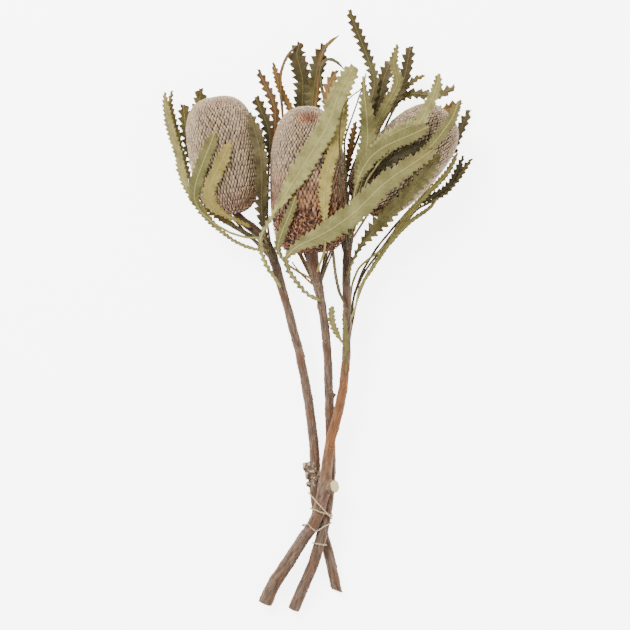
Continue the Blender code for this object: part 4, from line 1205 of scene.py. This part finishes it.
def sagged(line):
    """The third turn's upper side, which hangs down in the middle as a shallow V."""
    tree = BVHTree.FromPolygons(*stem_shapes())
    height = line[:, 2]
    share = np.clip((height - height.min()) / (height.max() - height.min()) * 3 - 1, 0, 1)
    across = line[:, 0] + SHEET_CENTRE[0]
    line[:, 1] -= share * np.interp(across, *V_LOOP)
    for point, upper in zip(line, share):
        hit = tree.ray_cast(Vector((point[0], point[1], ABOVE_ALL)) * MM, Vector((0, 0, -1)))[0]
        if hit and upper > 0.5:
            point[2] = max(point[2], hit.z / MM + OVER_BARK)
    return line


def add_turn(name):
    """One turn of three-ply twine."""
    line, length, plane = turn_middle(nodes[name])
    if name == "twine_turn_three":
        line = sagged(line)
    count = len(line)
    ahead = np.roll(line, -1, axis=0) - np.roll(line, 1, axis=0)
    ahead /= np.linalg.norm(ahead, axis=1)[:, None]
    outward = np.cross(ahead, plane)
    lays = round(length / LAY_LENGTH)
    points, faces = [], []
    for strand in range(STRANDS):
        base = len(points)
        for spot in range(count):
            angle = math.tau * (lays * spot / count + strand / STRANDS)
            lay = outward[spot] * math.cos(angle) + plane * math.sin(angle)
            centre = line[spot] + LAY_RADIUS * lay
            for side in range(STRAND_SIDES):
                turn = math.tau * side / STRAND_SIDES
                points.append(centre + STRAND_RADIUS * (outward[spot] * math.cos(turn)
                                                        + plane * math.sin(turn)))
        for spot in range(count):
            here = base + spot * STRAND_SIDES
            onward = base + (spot + 1) % count * STRAND_SIDES
            for side in range(STRAND_SIDES):
                following = (side + 1) % STRAND_SIDES
                faces.append((here + side, here + following, onward + following, onward + side))
    points = np.array(points) * MM
    points[:, 2] = np.maximum(points[:, 2], 0)
    faces = turned_out(points - points.mean(0), np.array(faces))
    piece = add_piece(name + "_cord", points, faces, [cord], [name])
    print(piece.name, "length:", round(length, 1), "mm")


for name in ("twine_turn_one", "twine_turn_two", "twine_turn_three", "twine_ring"):
    add_turn(name)

# %% [markdown]
# ## Table, light and camera
# The bunch lies on a plain pale table and is seen from straight above through a long lens, as in
# a catalogue picture. Broad soft lights from above give the faint, close shadows. The table also
# gives off light of its own, which keeps it nearly white all over.

# %% Table
TABLE_GLOW = 5.0
TABLE_REACH = 6.0
TABLE_DROP = 0.0004


def add_table():
    mesh = bpy.data.meshes.new("table")
    far = TABLE_REACH
    corners = [(-far, -far, 0), (far, -far, 0), (far, far, 0), (-far, far, 0)]
    mesh.from_pydata(corners, [], [(0, 1, 2, 3)])
    table = bpy.data.objects.new("table", mesh)
    table.location.z = -TABLE_DROP
    bpy.context.scene.collection.objects.link(table)
    surface = Finish("table_white", 0.9, Base_Color=paint(246, 246, 245), Emission_Color=(1, 1, 1, 1),
                     Emission_Strength=TABLE_GLOW)
    mesh.materials.append(surface.material)
    table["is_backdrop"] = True


add_table()
print("table glow:", TABLE_GLOW)


# %% Lights and camera
def add_light(name, place, size, power):
    lamp = bpy.data.lights.new(name, "AREA")
    lamp.size = size
    lamp.energy = power
    holder = bpy.data.objects.new(name, lamp)
    holder.location = place
    holder.rotation_euler = (-Vector(place)).to_track_quat("-Z", "Y").to_euler()
    bpy.context.scene.collection.objects.link(holder)


add_light("key_light", (-0.9, 1.1, 1.5), 1.0, 84)
add_light("fill_light", (1.3, -0.5, 1.5), 1.5, 20)
WORLD_STRENGTH = 1.15
world = bpy.context.scene.world or bpy.data.worlds.new("studio")
bpy.context.scene.world = world
world.use_nodes = True
sky = world.node_tree.nodes["Background"].inputs
sky["Color"].default_value = (1, 1, 1, 1)
sky["Strength"].default_value = WORLD_STRENGTH

FRAME_SIZE = 630
LENS = 400
FARTHEST = 20
MIDDLE_HEIGHT = 0.035
camera_data = bpy.data.cameras.new("camera")
camera_data.lens = LENS
camera_data.clip_end = FARTHEST
camera = bpy.data.objects.new("camera", camera_data)
distance = FRAME_SIZE * MM * LENS / camera_data.sensor_width
centre = to_frame([(FRAME_SIZE / 2, FRAME_SIZE / 2, 0)])[0]
camera.location = (centre[0], centre[1], distance + MIDDLE_HEIGHT)
bpy.context.scene.collection.objects.link(camera)
bpy.context.scene.camera = camera
print("camera height:", round(camera.location.z, 3))

# %% [markdown]
# ## Size
# The dressed bunch must stay as large as its solids, so both boxes are printed.

# %% Print both boxes
dressed_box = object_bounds()
for label, (low, high) in (("solid", solid_box), ("dressed", dressed_box)):
    print(label, "box in mm:", [round(value / MM, 1) for value in (*low, *high)])
